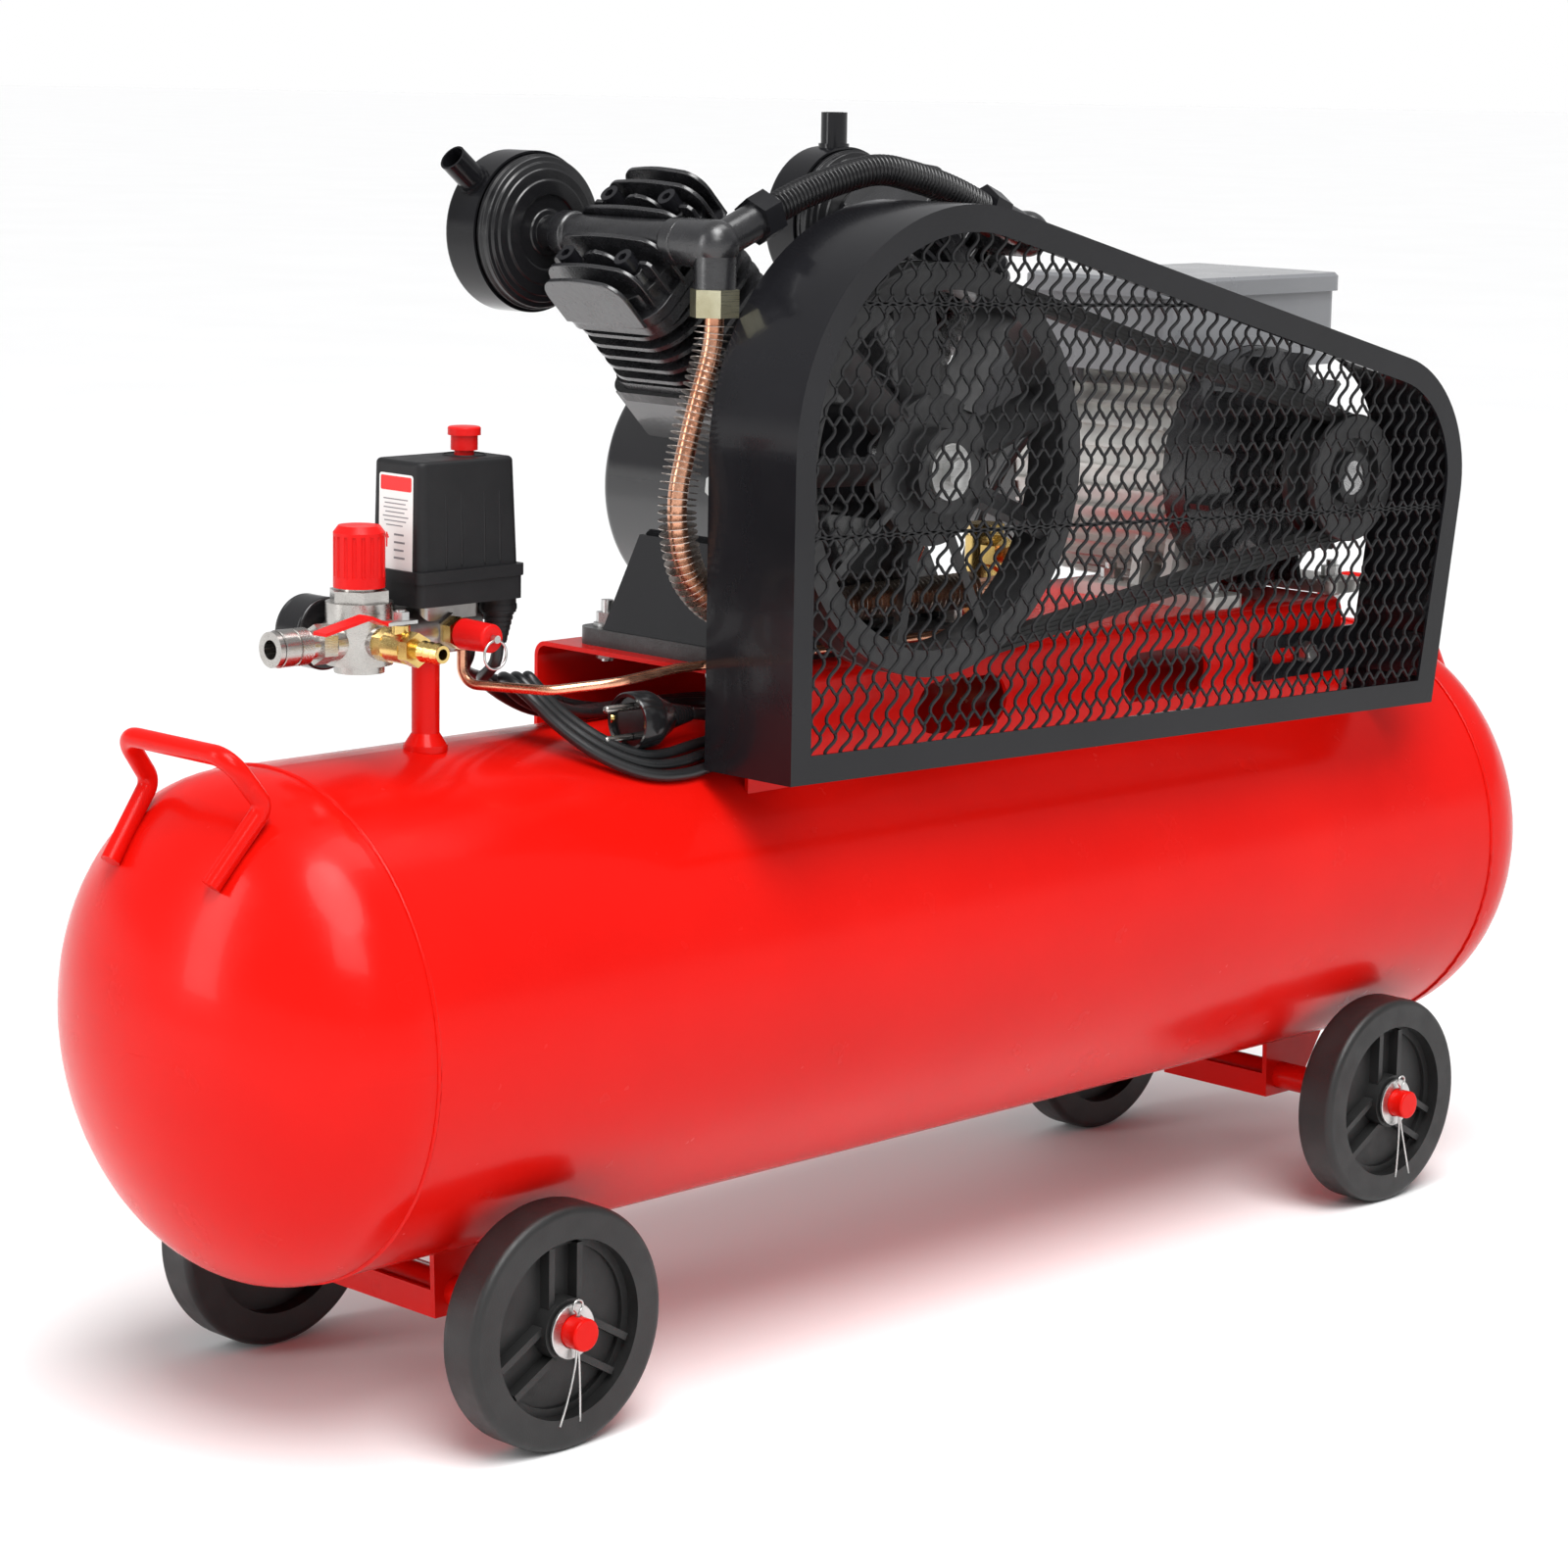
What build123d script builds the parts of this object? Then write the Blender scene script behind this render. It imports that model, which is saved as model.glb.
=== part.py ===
from build123d import *
import os
from math import atan2, cos, degrees, pi, radians, sin, sqrt, tan

os.makedirs("parts", exist_ok=True)

# Belt-driven V-twin air compressor on an 80 litre horizontal tank with four wheels.
# Millimetres.  X runs along the tank, -Y is the belt side, Z is up, the floor is Z = 0.

# ---------------------------------------------------------------- driving dimensions
TANK_R = 155.0            # tank outer radius
TANK_Z = 249.0            # height of the tank axis
TANK_WALL = 3.0
SEAM_X = 504.0            # weld seams at -SEAM_X and +SEAM_X
HEAD_SKIRT = 9.0          # straight part of each dished end, outside the seam
HEAD_DEPTH = 95.0
WHEEL_R = 75.0
WHEEL_WIDTH = 30.0
WHEEL_OUT_Y = 152.0       # outer face of the wheels
AXLE_X = 402.0
AXLE_R = 10.0
AXLE_END_Y = 167.0

DECK_X0, DECK_X1 = -210.0, 385.0      # machine platform on the tank
DECK_Y = 100.0
DECK_Z = 441.0
DECK_T = 3.0

CRANK_X, CRANK_Z = -84.0, 564.0       # crankshaft axis, parallel to Y
FLYWHEEL_R = 130.0
MOTOR_X, MOTOR_Z = 338.0, 533.0       # motor shaft axis
PULLEY_R = 44.5
BELT_Y = -127.0                       # middle plane of the V-belt
BELT_TOP, BELT_BOTTOM, BELT_H = 17.0, 10.6, 11.0
WHEEL_RIM_T = 30.0                    # flywheel and pulley width along Y
CRANK_THROW = 22.0
ROD_LENGTH = 110.0
BORE_R = 32.6
DRAIN_X = -265.0                      # drain valve, under the tank near its left end
HEAD_BASE, HEAD_TOP = 172.0, 218.0    # cylinder head, measured along its bank

GUARD_FRONT, GUARD_BACK = -168.0, -93.0
GUARD_SHEET = 2.0
GUARD_LIP = 17.0

SWITCH_X, SWITCH_Y = -380.0, -12.0    # pressure switch centre
MANIFOLD_Z = 476.0
REG_X, REG_Y = -449.0, -14.0          # pressure regulator axis
CORD_D = 7.5

GAP = 0.3                             # running clearance between bodies


# ---------------------------------------------------------------- helpers
def rod(radius, start, end):
    """Solid cylinder from start to end."""
    a, b = Vector(*start), Vector(*end)
    axis = b - a
    base = Plane(origin=a, z_dir=axis)
    return base * Cylinder(radius, axis.length, align=(Align.CENTER, Align.CENTER, Align.MIN))


def pipe(outer, inner, start, end):
    """Hollow cylinder from start to end."""
    a, b = Vector(*start), Vector(*end)
    extra = (b - a).normalized()
    return rod(outer, start, end) - rod(inner, a - extra, b + extra)


def cone(r_start, r_end, start, end):
    a, b = Vector(*start), Vector(*end)
    axis = b - a
    base = Plane(origin=a, z_dir=axis)
    return base * Cone(r_start, r_end, axis.length, align=(Align.CENTER, Align.CENTER, Align.MIN))


def hexagon(across_flats, start, end):
    """Hexagonal prism from start to end."""
    a, b = Vector(*start), Vector(*end)
    sketch = Plane(origin=a, z_dir=b - a) * RegularPolygon(across_flats / sqrt(3), 6)
    return extrude(sketch, amount=(b - a).length, dir=b - a)


def block(x0, x1, y0, y1, z0, z1):
    middle = ((x0 + x1) / 2, (y0 + y1) / 2, (z0 + z1) / 2)
    return Pos(*middle) * Box(x1 - x0, y1 - y0, z1 - z0)


def rounded_block(x0, x1, y0, y1, z0, z1, radius, axis=Axis.Z):
    """Box whose edges parallel to one axis are rounded."""
    box = block(x0, x1, y0, y1, z0, z1)
    return fillet(box.edges().filter_by(axis), radius)


def plate_xz(points, y0, y1):
    """Flat plate with a polygon outline in the XZ plane, from y0 to y1."""
    face = make_face(Polyline(*[(x, y0, z) for x, z in points], close=True))
    return extrude(face, amount=y1 - y0, dir=(0, 1, 0))


def moved_face(sketch, origin, x_dir, normal):
    return Plane(origin=origin, x_dir=x_dir, z_dir=normal) * sketch


def route_radii(points):
    """Arc radius at each inner point: 0.45 of the shorter run over tan(half the turn)."""
    radii = []
    for before, here, after in zip(points, points[1:], points[2:]):
        run_in = Vector(*here) - Vector(*before)
        run_out = Vector(*after) - Vector(*here)
        turn = radians(run_in.get_angle(run_out))
        radii.append(0.45 * min(run_in.length, run_out.length) / tan(turn / 2))
    return radii


def tube(points, radius, inner=0.0):
    """Round tube along straight runs joined by tangent arcs."""
    path = FilletPolyline(*points, radius=route_radii(points))
    section = Plane(origin=path @ 0, z_dir=path % 0) * Circle(radius)
    if inner > 0:
        section -= Plane(origin=path @ 0, z_dir=path % 0) * Circle(inner)
    return sweep(section, path=path), path


def group(*solids):
    """Separate solids kept in one node."""
    found = []
    for item in solids:
        found.extend(item.solids())
    return Compound(children=found)


parts = {}


# ---------------------------------------------------------------- tank
def tank_bore(radius):
    """Long cylinder on the tank axis, for fitting pieces to the tank wall."""
    return rod(radius, (-SEAM_X - 10, 0, TANK_Z), (SEAM_X + 10, 0, TANK_Z))


def tank_height(y, radius=TANK_R):
    """Height of the tank's upper surface at a distance y from its middle plane."""
    return TANK_Z + sqrt(radius ** 2 - y ** 2)


RISER_X, RISER_Y = -393.0, -8.0
CHECK_X = 112.0
shell = pipe(TANK_R, TANK_R - TANK_WALL, (-SEAM_X, 0, TANK_Z), (SEAM_X, 0, TANK_Z))
shell -= rod(6, (RISER_X, RISER_Y, TANK_Z + 100), (RISER_X, RISER_Y, TANK_Z + 200))
shell -= rod(11, (CHECK_X, 0, TANK_Z + 100), (CHECK_X, 0, TANK_Z + 200))
shell -= rod(8, (DRAIN_X, 0, TANK_Z - 200), (DRAIN_X, 0, TANK_Z - 100))
parts["tank_shell"] = shell


def dished_end(side):
    """Elliptical tank end with a joggled skirt inside the shell and a raised weld bead."""
    inner_r, inner_d = TANK_R - TANK_WALL, HEAD_DEPTH - TANK_WALL
    outer = EllipticalCenterArc((HEAD_SKIRT, 0), HEAD_DEPTH, TANK_R, 0, arc_size=90)
    inner = EllipticalCenterArc((HEAD_SKIRT, 0), inner_d, inner_r - 0.2, 0, arc_size=90)
    spigot = [inner @ 1, (-14, inner_r - 0.2), (-14, inner_r - 3), (HEAD_SKIRT, inner_r - 3)]
    thin = EllipticalCenterArc((HEAD_SKIRT, 0), inner_d - 3, inner_r - 3, 0, arc_size=90)
    skirt = Polyline(outer @ 1, (0.1, TANK_R), (0.1, inner_r - 0.2), spigot[1], spigot[2], thin @ 1)
    tip = Line(thin @ 0, outer @ 0)
    face = make_face(Curve() + [outer, skirt, thin, tip])
    end = revolve(face, Axis.X, 360)
    bead = Pos(1.6, 0, 0) * Rot(0, 90, 0) * Torus(TANK_R - 0.2, 1.6)
    end += bead
    end = end if side > 0 else Rot(0, 0, 180) * end
    return Pos(side * SEAM_X, 0, TANK_Z) * end


parts["tank_heads"] = group(dished_end(-1), dished_end(1))

HANDLE_R, HANDLE_Y = 6.0, 50.0


def dome_blank(side):
    """Solid with the outer shape of a dished end, for fitting pieces to it."""
    arc = EllipticalCenterArc((0, 0), HEAD_DEPTH + 0.1, TANK_R + 0.1, 0, arc_size=90)
    quarter = make_face(Curve() + [arc, Line(arc @ 1, (0, 0)), Line((0, 0), arc @ 0)])
    dome = revolve(quarter, Axis.X, 360)
    dome = dome if side > 0 else Rot(0, 0, 180) * dome
    return Pos(side * (SEAM_X + HEAD_SKIRT), 0, TANK_Z) * dome


def carry_handle(side):
    """Bent round bar with two feet that lie on the dished end."""
    foot, ankle, grip = (585, 48, 351), (551, 54, 394), (573, HANDLE_Y, 424)
    half = [foot, ankle, grip]
    points = [(side * x, y, z) for x, y, z in half]
    points += [(side * x, -y, z) for x, y, z in reversed(half)]
    path = FilletPolyline(*points, radius=[9, 15, 15, 9])
    section = Plane(origin=path @ 0, z_dir=path % 0) * Circle(HANDLE_R)
    return sweep(section, path=path) - dome_blank(side)


parts["carry_handles"] = group(carry_handle(-1), carry_handle(1))

# ---------------------------------------------------------------- running gear
LEG_Y, LEG_T = 45.0, 4.0


def axle_bracket(axle_x):
    """Two tapered plates under the tank, joined by an open channel that the axle lies in."""
    outline = [(axle_x - 19, 125), (axle_x + 62, 125), (axle_x + 20, 61), (axle_x - 17, 61)]
    plates = plate_xz(outline, LEG_Y, LEG_Y + LEG_T) + plate_xz(outline, -LEG_Y - LEG_T, -LEG_Y)
    plates -= tank_bore(TANK_R + 0.1)
    channel = block(axle_x - 17, axle_x + 20, -LEG_Y, LEG_Y, 61, 78)
    channel -= block(axle_x - 14, axle_x + 17, -LEG_Y, LEG_Y, 64, 80)
    bracket = plates + channel
    return bracket - rod(AXLE_R + 0.1, (axle_x, -100, WHEEL_R), (axle_x, 100, WHEEL_R))


brackets = []
axles = []
hardware = []
for axle_x in (-AXLE_X, AXLE_X):
    brackets.append(axle_bracket(axle_x))
    axle = rod(AXLE_R, (axle_x, -AXLE_END_Y, WHEEL_R), (axle_x, AXLE_END_Y, WHEEL_R))
    axle = fillet(axle.edges().filter_by(GeomType.CIRCLE), 1.5)
    for side in (-1, 1):
        pin_y = side * (WHEEL_OUT_Y + 7)
        axle -= rod(1.7, (axle_x, pin_y, WHEEL_R - 12), (axle_x, pin_y, WHEEL_R + 12))
        outer_washer = (WHEEL_OUT_Y + 1.0, WHEEL_OUT_Y + 3.5)
        inner_washer = (WHEEL_OUT_Y - WHEEL_WIDTH - 6.5, WHEEL_OUT_Y - WHEEL_WIDTH - 4.0)
        for y0, y1 in (outer_washer, inner_washer):
            washer = pipe(17, AXLE_R + 0.1, (axle_x, side * y0, WHEEL_R), (axle_x, side * y1, WHEEL_R))
            hardware.append(washer)
        shank = rod(1.5, (axle_x, pin_y, WHEEL_R - 14), (axle_x, pin_y, WHEEL_R + 13))
        eye = Pos(axle_x, pin_y, WHEEL_R + 16.2) * Rot(90, 0, 0) * Torus(3.2, 1.4)
        hardware.append(shank + eye)
    axles.append(axle)
parts["axle_brackets"] = group(*brackets)
parts["axles"] = group(*axles)
parts["axle_hardware"] = group(*hardware)


def wheel(axle_x, side):
    """Moulded wheel: tread ring, thin web, hub and three pairs of ribs."""
    face = WHEEL_OUT_Y
    back = face - WHEEL_WIDTH
    body = rod(WHEEL_R, (0, back, 0), (0, face, 0))
    body = fillet(body.edges().filter_by(GeomType.CIRCLE), 5)
    body -= rod(55, (0, face - 9, 0), (0, face + 5, 0))
    body -= rod(50, (0, face - 12, 0), (0, face + 5, 0))
    body -= rod(54, (0, back - 5, 0), (0, back + 12, 0))
    body += rod(19, (0, back - 3, 0), (0, face - 0.5, 0))
    for k in range(3):
        for shift in (-11, 11):
            rib = block(14, 51, face - 12.5, face - 4, shift - 2.2, shift + 2.2)
            body += Rot(0, 30 + 120 * k, 0) * rib
    body -= rod(AXLE_R + GAP, (0, back - 10, 0), (0, face + 10, 0))
    if side < 0:
        body = Rot(0, 0, 180) * body
    return Pos(axle_x, 0, WHEEL_R) * body


WHEELS = {
    "wheel_front_left": (-AXLE_X, -1),
    "wheel_rear_left": (-AXLE_X, 1),
    "wheel_front_right": (AXLE_X, -1),
    "wheel_rear_right": (AXLE_X, 1),
}
for name, (axle_x, side) in WHEELS.items():
    parts[name] = wheel(axle_x, side)

# ---------------------------------------------------------------- platform
PUMP_BOLTS = [(CRANK_X + dx, dy) for dx in (-97, 97) for dy in (-62, 62)]
MOTOR_BOLTS = [(MOTOR_X + dx, dy) for dx in (-70, 70) for dy in (-72, 18)]
STRAP_BOLTS = [(-188.0, 406.0), (340.0, 406.0)]


def platform():
    """Channel of bent sheet, open at both ends, with its side walls cut to the tank."""
    outer = Rectangle(2 * DECK_Y, 120, align=(Align.CENTER, Align.MAX))
    outer = fillet(outer.vertices().group_by(Axis.Y)[-1], 10)
    inner = Pos(0, -DECK_T) * Rectangle(2 * (DECK_Y - DECK_T), 130, align=(Align.CENTER, Align.MAX))
    inner = fillet(inner.vertices().group_by(Axis.Y)[-1], 7)
    profile = moved_face(outer - inner, (DECK_X0, 0, DECK_Z), (0, 1, 0), (1, 0, 0))
    deck = extrude(profile, amount=DECK_X1 - DECK_X0, dir=(1, 0, 0))
    deck -= tank_bore(TANK_R + 0.1)
    for x0, x1 in ((-58, 28), (146, 235)):
        slot = Plane(origin=((x0 + x1) / 2, 0, 404), x_dir=(1, 0, 0), z_dir=(0, 1, 0))
        deck -= extrude(slot * SlotOverall(x1 - x0, 34), amount=150, both=True)
    for x, y in PUMP_BOLTS + MOTOR_BOLTS:
        deck -= rod(4.1, (x, y, DECK_Z - 20), (x, y, DECK_Z + 5))
    for x, z in STRAP_BOLTS:
        deck -= rod(4.1, (x, -DECK_Y - 5, z), (x, -DECK_Y + 12, z))
    return deck - rod(23, (CHECK_X, 0, DECK_Z - 20), (CHECK_X, 0, DECK_Z + 5))


parts["pump_platform"] = platform()

# ---------------------------------------------------------------- crankcase and cylinders
BANKS = {"left": -45.0, "right": 45.0}
CASE_Z = 541.0
CASE_FRONT, CASE_BACK = -62.0, 84.0
GLASS_Z = CASE_Z - 42                 # oil sight glass on the back of the crankcase
OIL_ANGLE, OIL_Y = 174.0, -34.0       # oil filler plug on its left side


def bank(side):
    """Location whose Z axis runs up the cylinder bank from the crankshaft axis."""
    return Pos(CRANK_X, 0, CRANK_Z) * Rot(0, BANKS[side], 0)


def around_case(angle, radius, y):
    """Point at a polar place round the crankcase barrel."""
    return (CRANK_X + radius * cos(radians(angle)), y, CASE_Z + radius * sin(radians(angle)))


def crankcase():
    case = rod(84, (CRANK_X, CASE_FRONT, CASE_Z), (CRANK_X, CASE_BACK, CASE_Z))
    case = fillet(case.edges().filter_by(GeomType.CIRCLE), 7)
    for side in BANKS:
        pad = Pos(0, 0, 52) * Box(92, 92, 104)
        case += bank(side) * pad
        flange = Pos(0, 0, 104) * Box(98, 98, 8)
        case += bank(side) * fillet(flange.edges().filter_by(Axis.Z), 14)
    foot_z = DECK_Z + 11
    base = Pos(CRANK_X, 0, foot_z) * Rectangle(220, 104)
    neck = Pos(CRANK_X, 0, 512) * Rectangle(168, 92)
    case += loft([base, neck])
    foot = rounded_block(CRANK_X - 114, CRANK_X + 114, -76, 76, DECK_Z, foot_z, 14)
    arch = rod(34, (CRANK_X, -90, DECK_Z + 4), (CRANK_X, 90, DECK_Z + 4))
    case += foot
    case -= arch - block(-300, 200, -100, 100, 400, foot_z - 2)
    case += rod(36, (CRANK_X, -98, CRANK_Z), (CRANK_X, CASE_FRONT + 5, CRANK_Z))
    for side in BANKS:
        case -= bank(side) * Pos(0, 0, 80) * Cylinder(38.2, 80)
    case -= rod(72, (CRANK_X, CASE_FRONT + 12, CASE_Z), (CRANK_X, CASE_BACK - 8, CASE_Z))
    case -= rod(23.5, (CRANK_X, -110, CRANK_Z), (CRANK_X, CASE_FRONT + 20, CRANK_Z))
    case -= rod(11, (CRANK_X, CASE_BACK - 20, GLASS_Z), (CRANK_X, CASE_BACK + 5, GLASS_Z))
    case -= rod(7, around_case(OIL_ANGLE, 60, OIL_Y), around_case(OIL_ANGLE, 90, OIL_Y))
    for x, y in PUMP_BOLTS:
        case -= rod(4.1, (x, y, DECK_Z - 5), (x, y, foot_z + 30))
    return case


parts["crankcase"] = crankcase()


def cylinder(side):
    """Finned barrel with a spigot into the crankcase."""
    barrel = Pos(0, 0, (108.2 + HEAD_BASE) / 2) * Cylinder(41, HEAD_BASE - 108.2)
    barrel += Pos(0, 0, 99) * Cylinder(37.9, 20)
    barrel += Pos(0, 0, 111.2) * fillet(Box(92, 92, 6).edges().filter_by(Axis.Z), 16)
    for k in range(5):
        fin = fillet(Box(96, 94, 3).edges().filter_by(Axis.Z), 26)
        barrel += Pos(0, 0, 121 + 10.2 * k) * fin
    barrel += Pos(0, 0, HEAD_BASE - 3.5) * fillet(Box(94, 92, 7).edges().filter_by(Axis.Z), 16)
    barrel -= Pos(0, 0, 130) * Cylinder(BORE_R, 120)
    return bank(side) * barrel


PORT_A = 200.0                        # height of the head ports along the bank
PORT_F = 10.0


def head(side):
    """Cylinder head: rounded block with seven upright fins, front and back ports."""
    base = HEAD_BASE + 0.1
    body = Pos(0, 0, base + 15) * fillet(Box(98, 90, 30).edges().filter_by(Axis.Z), 16)
    for k in range(-3, 4):
        top = HEAD_TOP - 2.0 * abs(k)
        fin = Box(4.2, 92, top - base)
        fin = fillet(fin.edges().filter_by(Axis.X).group_by(Axis.Z)[-1], 20)
        body += Pos(17 * k, 0, (top + base) / 2) * fin
    port = rod(15, (0, -54, PORT_A), (0, 58, PORT_A))
    body += port
    chamber = Pos(0, 0, base + 9) * Box(60, 56, 18)
    body -= chamber
    body -= rod(7.5, (0, -60, PORT_A), (0, -20, PORT_A)) + rod(7.5, (0, 20, PORT_A), (0, 64, PORT_A))
    for x, y in HEAD_BOLTS:
        body -= Pos(x, y, base + 15) * Cylinder(4.6, 60)
    return bank(side) * body


HEAD_BOLTS = [(dx, dy) for dx in (-25.5, 25.5) for dy in (-26, 26)]
for side in BANKS:
    parts["cylinder_" + side] = cylinder(side)
    parts["head_" + side] = head(side)

socket_bolts = []
for side in BANKS:
    for x, y in HEAD_BOLTS:
        cap = Pos(x, y, HEAD_TOP - 10.8) * Cylinder(6.2, 10)
        cap += Pos(x, y, (HEAD_BASE + HEAD_TOP - 12) / 2) * Cylinder(4.4, HEAD_TOP - HEAD_BASE - 14)
        cap -= Pos(x, y, HEAD_TOP - 6) * extrude(RegularPolygon(3.2, 6), 5, both=True)
        socket_bolts.append(bank(side) * cap)
parts["head_bolts"] = group(*socket_bolts)

# ---------------------------------------------------------------- crank mechanism
SHAFT_R = 12.5
WEB_Y0, WEB_Y1 = -38.0, -27.0
PIN_END = -19.0


def crankshaft():
    """Overhung crankshaft: journal, counterweighted web and a short crankpin."""
    axis = (CRANK_X, CRANK_Z)
    shaft = rod(SHAFT_R, (axis[0], -146, axis[1]), (axis[0], WEB_Y0 + 1, axis[1]))
    web = rod(17, (axis[0], WEB_Y0, axis[1] + CRANK_THROW), (axis[0], WEB_Y1, axis[1] + CRANK_THROW))
    web += block(axis[0] - 17, axis[0] + 17, WEB_Y0, WEB_Y1, axis[1] - 20, axis[1] + CRANK_THROW)
    weight = rod(46, (axis[0], WEB_Y0, axis[1]), (axis[0], WEB_Y1, axis[1]))
    web += weight & block(axis[0] - 60, axis[0] + 60, WEB_Y0 - 1, WEB_Y1 + 1, axis[1] - 60, axis[1] - 8)
    crankpin = rod(9, (axis[0], WEB_Y1 - 1, axis[1] + CRANK_THROW), (axis[0], PIN_END, axis[1] + CRANK_THROW))
    washer = pipe(18, SHAFT_R - 7, (axis[0], -149, axis[1]), (axis[0], -146.1, axis[1]))
    screw = hexagon(17, (axis[0], -156, axis[1]), (axis[0], -149.1, axis[1]))
    screw += rod(5.4, (axis[0], -150, axis[1]), (axis[0], -125, axis[1]))
    shaft -= rod(5.5, (axis[0], -150, axis[1]), (axis[0], -124, axis[1]))
    return group(shaft + web + crankpin, washer, screw)


parts["crankshaft"] = crankshaft()

bearings = []
for y0 in (-96.0, -62.0):
    ends = ((CRANK_X, y0, CRANK_Z), (CRANK_X, y0 + 14, CRANK_Z))
    bearings.append(pipe(23.4, SHAFT_R + GAP, *ends))
MOTOR_SHAFT_R = 12.0
for y0 in (-72.0, 109.0):
    ends = ((MOTOR_X, y0, MOTOR_Z), (MOTOR_X, y0 + 15, MOTOR_Z))
    bearings.append(pipe(26.0, MOTOR_SHAFT_R + GAP, *ends))
parts["shaft_bearings"] = group(*bearings)

PIN_HEIGHT = CRANK_THROW * cos(radians(45)) + sqrt(ROD_LENGTH ** 2 - (CRANK_THROW * sin(radians(45))) ** 2)
CROWN = PIN_HEIGHT + 38


def piston(side, rod_y):
    """Piston and its connecting rod; the big end stops just past the end of the crankpin."""
    skirt = rod(BORE_R - GAP, (0, 0, CROWN - 50), (0, 0, CROWN))
    for k in range(3):
        groove_z = CROWN - 6 - 5 * k
        skirt -= pipe(BORE_R + 1, BORE_R - 2.2, (0, 0, groove_z - 1), (0, 0, groove_z + 1))
    skirt -= rod(BORE_R - 5, (0, 0, CROWN - 60), (0, 0, CROWN - 8))
    skirt = bank(side) * skirt
    pin = bank(side) * rod(7, (0, -30, PIN_HEIGHT), (0, 30, PIN_HEIGHT))
    small = Vector(0, 0, PIN_HEIGHT)
    small = Vector(CRANK_X + small.Z * sin(radians(BANKS[side])), 0, CRANK_Z + small.Z * cos(radians(45)))
    big = Vector(CRANK_X, 0, CRANK_Z + CRANK_THROW)
    y0, y1 = rod_y
    conrod = pipe(17, 9.5, (big.X, y0, big.Z), (big.X, y1, big.Z))
    conrod += rod(12, (small.X, y0, small.Z), (small.X, y1, small.Z))
    along = (big - small).normalized()
    shank = Plane(origin=small + along * 10 + Vector(0, (y0 + y1) / 2, 0), z_dir=along, x_dir=(0, 1, 0))
    length = (big - small).length - 26
    conrod += shank * Box(y1 - y0 - 4, 13, length, align=(Align.CENTER, Align.CENTER, Align.MIN))
    conrod -= rod(7.05, (small.X, -40, small.Z), (small.X, 40, small.Z))
    return group(skirt - rod(7.05, (small.X, -40, small.Z), (small.X, 40, small.Z)), pin, conrod)


parts["piston_left"] = piston("left", (-16.0, -1.0))
parts["piston_right"] = piston("right", (1.0, 16.0))

# ---------------------------------------------------------------- flywheel, pulley and belt
RIM_Y0, RIM_Y1 = BELT_Y - WHEEL_RIM_T / 2, BELT_Y + WHEEL_RIM_T / 2
SPOKES = 9


def v_groove(axle_x, axle_z, radius):
    """Ring with the belt's section plus side clearance, to cut a groove or make the belt arc."""
    half_top, half_low = BELT_TOP / 2 + 0.5, BELT_BOTTOM / 2 + 0.5
    depth = BELT_H + 2.0
    section = Polyline((half_top + 0.3, 1), (-half_top - 0.3, 1), (-half_low, -depth), (half_low, -depth), close=True)
    face = Plane(origin=(axle_x, BELT_Y, axle_z + radius), x_dir=(0, 1, 0), z_dir=(1, 0, 0)) * make_face(section)
    return revolve(face, Axis((axle_x, 0, axle_z), (0, 1, 0)), 360)


def flywheel():
    """Spoked flywheel whose pitched spokes work as fan blades."""
    centre = (CRANK_X, CRANK_Z)
    wheel_body = pipe(FLYWHEEL_R, FLYWHEEL_R - 17, (centre[0], RIM_Y0, centre[1]), (centre[0], RIM_Y1, centre[1]))
    wheel_body -= v_groove(centre[0], centre[1], FLYWHEEL_R)
    hub = rod(48, (centre[0], RIM_Y0 + 8, centre[1]), (centre[0], RIM_Y0 + 15, centre[1]))
    hub += rod(27, (centre[0], -145.9, centre[1]), (centre[0], RIM_Y1 - 2, centre[1]))
    for k in range(SPOKES):
        blade = Pos(82, 0, 0) * Rot(38, 0, 0) * Box(74, 26, 5)
        blade = Rot(0, -18 - 40 * k, 0) * blade
        hub += Pos(centre[0], BELT_Y, centre[1]) * blade
    ends = ((centre[0], RIM_Y0, centre[1]), (centre[0], RIM_Y1, centre[1]))
    keep = rod(FLYWHEEL_R - 15, (centre[0], -150, centre[1]), (centre[0], RIM_Y1, centre[1]))
    wheel_body += hub & keep
    wheel_body -= rod(SHAFT_R + 0.02, (centre[0], -160, centre[1]), (centre[0], -100, centre[1]))
    return wheel_body


parts["flywheel"] = flywheel()


def motor_pulley():
    centre = (MOTOR_X, MOTOR_Z)
    body = rod(PULLEY_R, (centre[0], RIM_Y0, centre[1]), (centre[0], RIM_Y1, centre[1]))
    body = fillet(body.edges().filter_by(GeomType.CIRCLE), 1.5)
    body -= v_groove(centre[0], centre[1], PULLEY_R)
    body -= pipe(28, 18, (centre[0], RIM_Y0 - 1, centre[1]), (centre[0], RIM_Y0 + 7, centre[1]))
    body += rod(18, (centre[0], RIM_Y1 - 1, centre[1]), (centre[0], RIM_Y1 + 6, centre[1]))
    return body - rod(MOTOR_SHAFT_R + 0.02, (centre[0], -160, centre[1]), (centre[0], -90, centre[1]))


parts["motor_pulley"] = motor_pulley()


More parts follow.
